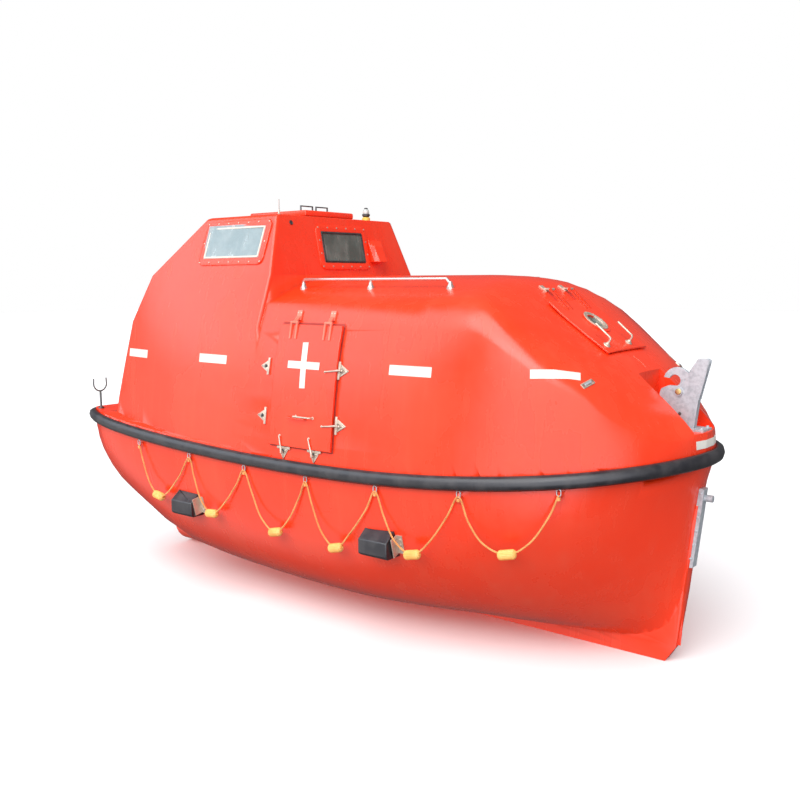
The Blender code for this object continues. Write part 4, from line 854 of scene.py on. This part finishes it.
# Sealant round the side panes; its pale colour is a painted highlight for the lit edges of their frames.
PALE_BEAD_AND_HIGHLIGHT = finish(
    "sealant_and_painted_highlight", "black_rubber", (0.80, 0.72, 0.62), (0.60, 0.50, 0.42),
    (20.0, 0.4, 0.3, 200.0, 0.5))


def glazing(name, tint_and_reflection, grime, clearness):
    """Grimy glass with runs of dried spray, see-through to a degree. Its base colour is a tint, and on the
    side panes a painted reflection of the sky.
    """
    material, sockets, _ = coat(name, tint_and_reflection, grime, (6.0, 0.5, 0.9, 90.0, 0.10, 0.35))
    sockets["Metallic"].default_value = 0.0
    sockets["Transmission Weight"].default_value = clearness
    sockets["IOR"].default_value = 1.35
    return material


def glaze(pane, glass):
    """Give a CAD pane its glass."""
    pane.data.materials.clear()
    pane.data.materials.append(glass)


# The side panes' pale blue is a painted reflection of the sky, not a tint of the glass.
SIDE_GLASS_PAINTED_SKY = glazing("side_glass_painted_sky", (0.40, 0.50, 0.53), (0.62, 0.70, 0.72), 0.40)
FRONT_GLASS = glazing("front_glass", (0.15, 0.19, 0.17), (0.34, 0.41, 0.37), 0.40)
PORT_GLASS = glazing("port_glass", (0.075, 0.10, 0.085), (0.20, 0.25, 0.22), 0.10)


def flat_ring(obj, width, thick, ease):
    """Make a flat face a ring of some width and thickness, with eased upper edges, its foot on Z = 0."""
    choose(obj)
    hollow(width)
    extruded((0, 0, thick))
    bpy.ops.mesh.select_all(action="SELECT")
    bpy.ops.mesh.normals_make_consistent(inside=False)
    choose(obj, "EDGE", lambda e: all(abs(v.co.z - thick) < 1e-5 for v in e.verts) and e.is_manifold
           and e.calc_face_angle() > 1.0)
    bpy.ops.mesh.bevel(offset=ease, segments=2)
    shade(40)
    return obj


def ring_plate(width, height, inner, outer, thick, corner, ease=0.3):
    """A rectangular ring with rounded corners, from inner to outer off a rectangle's edge."""
    obj = primitive(bpy.ops.mesh.primitive_plane_add, size=1)
    sized(obj, (width + 2 * outer, height + 2 * outer, 1))
    choose(obj)
    bpy.ops.mesh.bevel(offset=corner, segments=4, affect="VERTICES")
    return flat_ring(obj, outer - inner, thick, min(thick, outer - inner) * ease)


for node, start, way, width, height, along, up in WINDOWS:
    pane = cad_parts[node]
    place = facing(*meet(pane, *start, way), -PANE_PROUD)
    # Side panes get the pale blue glass, a painted reflection of the sky.
    glaze(pane, SIDE_GLASS_PAINTED_SKY if way[1] else FRONT_GLASS)
    flange = ring_plate(width, height, BEAD_OUT, FLANGE_WIDE, PANE_PROUD + 0.0025, FLANGE_CORNER, ease=0.75)
    fit(flange, place @ shift((0, 0, 0.0005)), node + "_flange", GELCOAT)
    # Side panes get the pale bead, a painted highlight; front and aft panes get black rubber.
    bead = ring_plate(width, height, BEAD_IN, BEAD_OUT, PANE_PROUD + 0.0030, BEAD_CORNER)
    fit(bead, place @ shift((0, 0, 0.0034)), node + "_bead", PALE_BEAD_AND_HIGHLIGHT if way[1] else GASKET)
    across, upward = width / 2 + SCREWS_OUT, height / 2 + SCREWS_OUT
    rows = [((width + SCREWS_WIDER) * (i / (along - 1) - 0.5), end * upward)
            for i in range(along) for end in (-1, 1)]
    rows += [(end * across, 2 * upward * (i / (up - 1) - 0.5))
             for i in range(1, up - 1) for end in (-1, 1)]
    heads = [place @ shift((x, y, PANE_PROUD + 0.0030)) for x, y in rows]
    copies(screw_head(0.0062, 0.0035), heads, node + "_screws", STAINLESS)


# Tower fittings. A moulded vent cowl on the front, a drain hole with its collar, the position
# light on its block, the whip aerial in its ferrule, and the roof hatch with two grab bars.
TOWER_ROOF = KEEL + 2.900
LAMP_PLACE = (-0.585, 0.420, TOWER_ROOF)
FERRULE_PLACE = (-0.565, -0.600, TOWER_ROOF)
ROOF_BARS = KEEL + 2.954

LAMP_BLOCK = finish(
    "lamp_block", "lamp_plastic", (0.86, 0.62, 0.12), (0.62, 0.42, 0.10),
    (25.0, 0.5, 0.3, 180.0, 0.45))
LAMP_SKIRT = finish(
    "lamp_skirt", "lamp_plastic", (0.030, 0.032, 0.034), (0.10, 0.10, 0.10),
    (25.0, 0.4, 0.2, 260.0, 0.35))
LAMP_DOME = finish(
    "lamp_dome", "lamp_plastic", (0.62, 0.66, 0.64), (0.42, 0.45, 0.43),
    (30.0, 0.4, 0.3, 150.0, 0.12), Coat_Weight=0.6, Coat_Roughness=0.04)
# Columns: name, radius and height pairs, material
LAMP_PIECES = [
    ("lamp_base", [(0.033, 0.0004), (0.033, 0.022), (0.028, 0.026), (0.020, 0.028)], LAMP_BLOCK),
    ("lamp_skirt_ring", [(0.019, 0.024), (0.023, 0.030), (0.032, 0.040), (0.032, 0.052), (0.026, 0.056)],
     LAMP_SKIRT),
    ("lamp_globe_dome", [(0.024, 0.054), (0.0260, 0.066), (0.024, 0.080), (0.019, 0.090), (0.010, 0.096),
                         (0.004, 0.098)], LAMP_DOME),
    ("lamp_cap", [(0.0155, 0.0925), (0.0155, 0.100), (0.010, 0.104), (0.002, 0.105)], LAMP_SKIRT),
]


def turned_ring(profile, sides=28):
    """A piece turned about Z from radius and height pairs, closed at both ends."""
    obj = settle(primitive(bpy.ops.mesh.primitive_circle_add, vertices=sides, radius=profile[0][0],
                           fill_type="NGON", location=(0, 0, profile[0][1])))
    choose(obj)
    for (last, low), (radius, height) in zip(profile, profile[1:]):
        extruded((0, 0, height - low))
        bpy.ops.transform.resize(value=(radius / last, radius / last, 1), center_override=(0, 0, height))
    bpy.ops.mesh.select_all(action="SELECT")
    bpy.ops.mesh.normals_make_consistent(inside=False)
    shade(35)
    return obj


soften(refined("vent_cowl", GELCOAT, angle=20), 0.006, lambda e: e.calc_length() > 0.03)

for name, profile, material in LAMP_PIECES:
    lamp_part = fit(turned_ring(profile), shift(LAMP_PLACE), name, material)
    if name == "lamp_base":
        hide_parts("position_light")

ferrule = turned_ring([(0.014, 0.0004), (0.014, 0.005), (0.009, 0.008), (0.0075, 0.028), (0.0048, 0.034)])
fit(ferrule, shift(FERRULE_PLACE), "aerial_ferrule", STAINLESS)
refined("aerial", BRIGHT_STEEL, angle=40)
collar = turned_ring([(0.017, 0.0003), (0.017, 0.003), (0.013, 0.005), (0.011, 0.002)])
fit(collar, facing(*meet(canopy, 1.0, -0.539, 2.841, (-1, 0, 0))), "drain_collar", GASKET)

lid = refined("hatch_roof", GELCOAT, DARK_STEEL, body="roof_hatch", angle=30)
for face in lid.data.polygons:
    face.material_index = int(face.center.z > ROOF_BARS)
for number in (1, 2):
    refined(f"hinge_roof_{number}", STAINLESS)
roof_seal = ring_plate(0.615, 0.560, -0.030, 0.004, 0.0040, 0.012)
fit(roof_seal, shift((-0.9075, 0, TOWER_ROOF + 0.0005)), "roof_seal", SEAL_RUBBER_AND_SHADOW)


# Handrails. Polished tube along the canopy's shoulders, welded to flanged feet.
RAIL_Y = 0.600
RAIL_FEET = (-0.330, 0.300, 0.960)


def above(obj, x, y):
    """Where a line straight down meets a piece."""
    return meet(obj, x, y, 3.0, (0, 0, -1))


for side, hand in SIDES:
    refined("handrail_" + side, BRIGHT_STEEL, angle=40)
    feet = [facing(above(canopy, x, hand * RAIL_Y)[0], (0, 0, 1), up=(0, 1, 0)) for x in RAIL_FEET]
    cone = turned_ring([(0.024, 0.004), (0.022, 0.014), (0.015, 0.026), (0.0115, 0.044)])
    copies(cone, feet, "rail_cones_" + side, BRIGHT_STEEL)


# Bow hatch. A square lid on the front slope with a round port in a clamped steel ring, two strap
# hinges at its head and two dogs with bent levers at its foot.
PORT_LIP = 0.0110          # top of the lid's moulded rim, above the glass
# Columns: x and y of the spindle
BOW_DOGS = [(1.868, -0.215), (1.873, 0.095)]
LEVER_REACH = 0.112

hatch = refined("hatch_bow", GELCOAT, body="bow_hatch")
soften(hatch, 0.005, lambda e: e.calc_length() > 0.07 and (
    all(v.co.x < 1.52 for v in e.verts) or all(v.co.x > 1.885 for v in e.verts)
    or all(abs(v.co.y) > 0.27 for v in e.verts)))
port_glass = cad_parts["porthole_glass"]
glaze(port_glass, PORT_GLASS)
for number in (1, 2):
    refined(f"hinge_bow_{number}", STAINLESS)
port = above(port_glass, 1.680, 0.0)


def port_ring(inner, outer, thick):
    """A round ring with eased edges."""
    obj = primitive(bpy.ops.mesh.primitive_circle_add, vertices=40, radius=outer, fill_type="NGON")
    return flat_ring(obj, outer - inner, thick, thick * 0.35)


fit(port_ring(0.077, 0.092, 0.004), facing(*port, PORT_LIP + 0.0003), "port_clamp_ring", STAINLESS,
    "bow_hatch")
fit(port_ring(0.0625, 0.0768, PORT_LIP + 0.003), facing(*port, 0.0004), "port_gasket", STAINLESS, "bow_hatch")
ring_screws = [facing(*port, PORT_LIP + 0.0045) @ Matrix.Rotation(math.radians(turn), 4, "Z")
               @ shift((0.0845, 0, 0)) for turn in range(0, 360, 45)]
copies(screw_head(0.0045, 0.0025), ring_screws, "port_ring_screws", STAINLESS, "bow_hatch")

for number, (x, y) in enumerate(BOW_DOGS, 1):
    spot, normal = above(hatch, x, y)
    upper, _ = above(hatch, x - LEVER_REACH, y)
    lever = bent_rod("lever", [spot + normal * 0.002, spot + normal * 0.052, upper + normal * 0.066],
                     [0.0075, 0.0070, 0.0078], corner=0.016)
    cup = turned_ring([(0.024, 0.0003), (0.022, 0.006), (0.015, 0.010), (0.010, 0.020)], sides=24)
    cup.matrix_world = facing(spot, normal, up=(0, 1, 0))
    dress(joined(f"bow_dog_{number}", lever, settle(cup)), STAINLESS, body="bow_hatch")

seam = [above(canopy, x, 0.0) for x in (1.945, 1.975, 2.005, 2.035)]
dress(bent_rod("centre_seam", [spot + normal * 0.001 for spot, normal in seam], [0.004] * 4), GELCOAT)

for side, hand in SIDES:
    spot, normal = above(canopy, 1.982, hand * 0.700)
    up = (1, 0.15 * hand, 0)
    fit(ring_plate(0.090, 0.016, 0.0, 0.010, 0.010, 0.006), facing(spot, normal, -0.002, up=up),
        "towing_bracket_" + side, STAINLESS)
    fit(soften(box((0.066, 0.0150, 0.012)), 0.003), facing(spot, normal, 0.006, up=up),
        "towing_bar_" + side, GALVANISED)


# Release hooks. Galvanised cheeks bolted down in the bow well and on the aft deck, each pair
# with a hook that turns on a brass-headed pin between them, and a row of ridges up each outer edge.
# Columns: name, middle of the foot, the deck's height in the frame, which way it faces
HOOKS = [("fore", 2.370, KEEL + 1.500, 1), ("aft", -2.330, KEEL + 1.3414, -1)]
PIN_X, PIN_Z = -0.109, 0.232
CHEEK_BOLTS = ((-0.170, 0.134), (-0.098, 0.096))
CHEEK_OUT = 0.022          # outer face of a cheek
CHEEK_MIDDLE = 0.0175
PIN_OUT = 0.0322           # end of a pin
FOOT_BOLT = (0.050, 0.054, 0.0143)    # along and across from the foot's middle, and up from the deck
RIDGES = 24
RIDGE_ENDS = ((0.014, 0.188), (0.072, 0.430))

BRASS = finish(
    "brass_pin", "bronze", (0.62, 0.48, 0.20), (0.36, 0.27, 0.14),
    (40.0, 0.6, 0.3, 200.0, 0.32, 0.2), metallic=0.9)

for name, foot_x, deck, way in HOOKS:
    soften(refined("hook_frame_" + name, GALVANISED, angle=32), 0.0022,
           lambda e: all(abs(abs(v.co.y) - CHEEK_OUT) < 0.0004 and v.co.z > deck + 0.02 for v in e.verts),
           segments=2)
    soften(refined("hook_" + name, GALVANISED, body=name + "_hook", angle=32), 0.002,
           lambda e: rise(e, axis=1) < 0.0004, segments=2)
    pins, bolts, sunk = [], [], []
    for hand in (1, -1):
        pins.append(facing((foot_x + way * PIN_X, hand * PIN_OUT, deck + PIN_Z), (0, hand, 0)))
        sunk += [facing((foot_x + way * x, hand * (CHEEK_OUT + 0.0003), deck + z), (0, hand, 0))
                 for x, z in CHEEK_BOLTS]
        along, across, up = FOOT_BOLT
        bolts += [shift((foot_x + x, hand * across, deck + up)) for x in (-along, along)]
    head = turned_ring([(0.0185, 0.0), (0.0185, 0.004), (0.0150, 0.007), (0.005, 0.0078)], sides=24)
    copies(head, pins, "pin_heads_" + name, BRASS)
    copies(hex_bolt(0.0068, 0.004), sunk, "cheek_bolts_" + name, DARK_STEEL)
    copies(hex_bolt(0.0095, 0.008), bolts, "foot_bolts_" + name, GALVANISED)
    low, high = (Vector((foot_x + way * x, 0, deck + z)) for x, z in RIDGE_ENDS)
    up = (high - low).normalized()
    out = Vector((up.z * way, 0, -up.x * way))
    ridge = settle(drum(6, 0.0052, 0.0075, rotation=(0, math.radians(90), 0)))
    in_a_row(sized(ridge, (1, 1, 0.7)), RIDGES, (0, (high - low).length / RIDGES, 0))
    bpy.ops.object.shade_smooth_by_angle(angle=math.radians(30))
    rows = [facing(low + up * 0.006 + Vector((0, y, 0)), out, 0.001, up=up)
            for y in (CHEEK_MIDDLE, -CHEEK_MIDDLE)]
    copies(ridge, rows, "cheek_ridges_" + name, GALVANISED)


# Stem fitting. A galvanised painter plate folded round the stem head and bolted through it,
# with a round towing boss on its face.
# Columns: x, height
STEM_BOLTS = [(2.378, 0.700), (2.392, 0.790), (2.404, 0.880), (2.415, 0.970), (2.425, 1.120)]
stem = refined("stem_fitting", GALVANISED, angle=35)
stem_bolts = [facing(*beside(stem, hand, x, height)) for hand in (-1, 1) for x, height in STEM_BOLTS]
copies(hex_bolt(0.0075, 0.006), stem_bolts, "stem_bolts", GALVANISED)


# Skates. Blocks of black rubber that fend the hull off a ship's side, each behind a steel angle
# bolted to the hull at its fore end.
# Columns: name, x of the middle, height of the middle
SKATES = [("aft", -1.130, 0.730), ("fore", 0.740, 0.745)]
NUT_PLACES = [shift((0.026, y, 0.0005)) for y in (-0.036, 0.0, 0.036)]
for name, x, height in SKATES:
    for side, hand in SIDES:
        block = refined(f"skate_{name}_{side}", RUBBER, angle=30)
        soften(block, 0.006, lambda e: all(abs(v.co.y) > abs(e.verts[0].co.y) - 0.2 for v in e.verts)
               and e.calc_length() > 0.05, segments=2)
        angle = joined("angle", box((0.006, 0.130, 0.080), (0, 0, 0.030)),
                       box((0.046, 0.130, 0.006), (0.020, 0, 0.003)))
        choose(angle, "EDGE", lambda e: rise(e) > 0.05 or (rise(e) > 0.004 and e.verts[0].co.x > 0.03))
        bpy.ops.mesh.bevel(offset=0.0015, segments=2)
        bpy.ops.object.mode_set(mode="OBJECT")
        nuts = copies(hex_bolt(0.0085, 0.007), NUT_PLACES, "nuts", STAINLESS)
        fit(joined("angle", angle, nuts), facing(*beside(hull, hand, x + 0.1115, height + 0.015)),
            f"skate_angle_{name}_{side}", STAINLESS)


# Stern gear and crutches. A bronze propeller and stern tube, a moulded steering nozzle, and a
# dark steel crutch on each quarter for a steering oar.
BRONZE = finish(
    "propeller_bronze", "bronze", (0.52, 0.34, 0.16), (0.26, 0.24, 0.16),
    (22.0, 0.6, 0.3, 240.0, 0.34, 0.25), metallic=0.9)
# Columns: node, body, material, smoothing angle
STERN_GEAR = [
    ("propeller", "propeller", BRONZE, 40), ("stern_tube", "boat", BRONZE, 40),
    ("steering_nozzle", "nozzle", GELCOAT, 40),
    ("crutch_starboard", "boat", DARK_STEEL, 50), ("crutch_port", "boat", DARK_STEEL, 50),
]
for node, body, material, angle in STERN_GEAR:
    refined(node, material, body=body, angle=angle)


# Inside. A flow-coated sole and benches, the engine under its painted cover, and the helmsman's
# console with its wheel, throttle and dials.
# Columns: y, height, radius
DIALS = [(-0.20, 1.80, 0.042), (0.20, 1.80, 0.042), (-0.22, 1.68, 0.030), (0.22, 1.68, 0.030)]
# Columns: x, y, height
THROTTLE = [(-0.560, -0.250, 1.935), (-0.580, -0.250, 2.020), (-0.620, -0.250, 2.050)]

ENGINE_PAINT = finish(
    "engine_paint", "grey_engine_paint", (0.30, 0.32, 0.34), (0.18, 0.18, 0.18),
    (6.0, 0.5, 0.4, 200.0, 0.42), bump=0.15)
DIAL = finish(
    "dial_face", "black_rubber", (0.02, 0.02, 0.022), (0.06, 0.06, 0.06),
    (30.0, 0.3, 0.1, 300.0, 0.15), Coat_Weight=0.7, Coat_Roughness=0.03)
for node in ("sole", "bench_starboard", "bench_port", "helm_console"):
    soften(refined(node, FLOW_COAT, angle=30), 0.006, lambda e: e.calc_length() > 0.10)
refined("engine", ENGINE_PAINT, angle=30)
ribs = [soften(box((0.030, 0.536, 0.500), (x, 0, KEEL + 0.60)), 0.008) for x in (-1.40, -1.10, -0.80)]
dress(joined("engine_ribs", *ribs), ENGINE_PAINT)
refined("steering_wheel", GASKET, body="wheel", angle=50)

dials = []
for y, height, radius in DIALS:
    dial = turned_ring([(radius, 0.0003), (radius, 0.008), (radius * 0.88, 0.010), (radius * 0.84, 0.006),
                        (radius * 0.2, 0.006)])
    dial.matrix_world = facing((-0.680, y, KEEL + height), (-1, 0, 0))
    dials.append(settle(dial))
dress(joined("console_dials", *dials), DIAL)
lever = [(x, y, KEEL + height) for x, y, height in THROTTLE]
dress(bent_rod("throttle", lever, (0.010, 0.008, 0.012), corner=0.02), STAINLESS)


# Helm seat. Two foam cushions in coated fabric, crowned and pulled in at their sides, on a moulded
# pedestal over the engine cover.
SEAT_FABRIC = finish(
    "coated_seat_fabric", "seat_foam_cover", (0.060, 0.062, 0.066), (0.12, 0.12, 0.12),
    (10.0, 0.5, 0.1, 900.0, 0.48), bump=0.6, depth=0.0008)
SEAT_HALF = 0.198
SEAT_CROWN = 0.018
SEAT_PULL = 0.012          # how far a cushion's sides pull in at their middle


def cushion(name, low, high, axis):
    """A pad crowned on its two broad faces, with sides pulled in between its corners."""
    obj = primitive(bpy.ops.mesh.primitive_cube_add, size=2)
    choose(obj)
    bpy.ops.mesh.subdivide(number_cuts=7)
    bpy.ops.object.mode_set(mode="OBJECT")
    middle = [(a + b) / 2 for a, b in zip(low, high)]
    half = [(b - a) / 2 for a, b in zip(low, high)]
    flat = [k for k in range(3) if k != axis]
    for vert in obj.data.vertices:
        u, v = (vert.co[k] for k in flat)
        crown = (1 - u * u) * (1 - v * v)
        spot = [0.0] * 3
        spot[axis] = middle[axis] + vert.co[axis] * (half[axis] - SEAT_CROWN * (1 - crown))
        for k, here, other in zip(flat, (u, v), (v, u)):
            pull = SEAT_PULL * (1 - other * other) * abs(here) ** 3
            spot[k] = middle[k] + here * half[k] - math.copysign(pull, here)
        vert.co = spot
    mod = obj.modifiers.new("smooth", "SUBSURF")
    mod.levels = 2
    mod.render_levels = 2
    bpy.ops.object.shade_smooth()
    fit(obj, Matrix(), name, SEAT_FABRIC)
    return obj


seat = cushion("seat_cushion", (-1.315, -SEAT_HALF, KEEL + 1.415), (-0.962, SEAT_HALF, KEEL + 1.548), 2)
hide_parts("helm_seat")
cushion("back_cushion", (-1.358, -SEAT_HALF, KEEL + 1.552), (-1.284, SEAT_HALF, KEEL + 2.018), 0)
pedestal = soften(box((0.290, 0.320, 0.556), (-1.145, 0, KEEL + 1.140)), 0.015)
pedestal.name = "seat_pedestal"
dress(pedestal, FLOW_COAT)
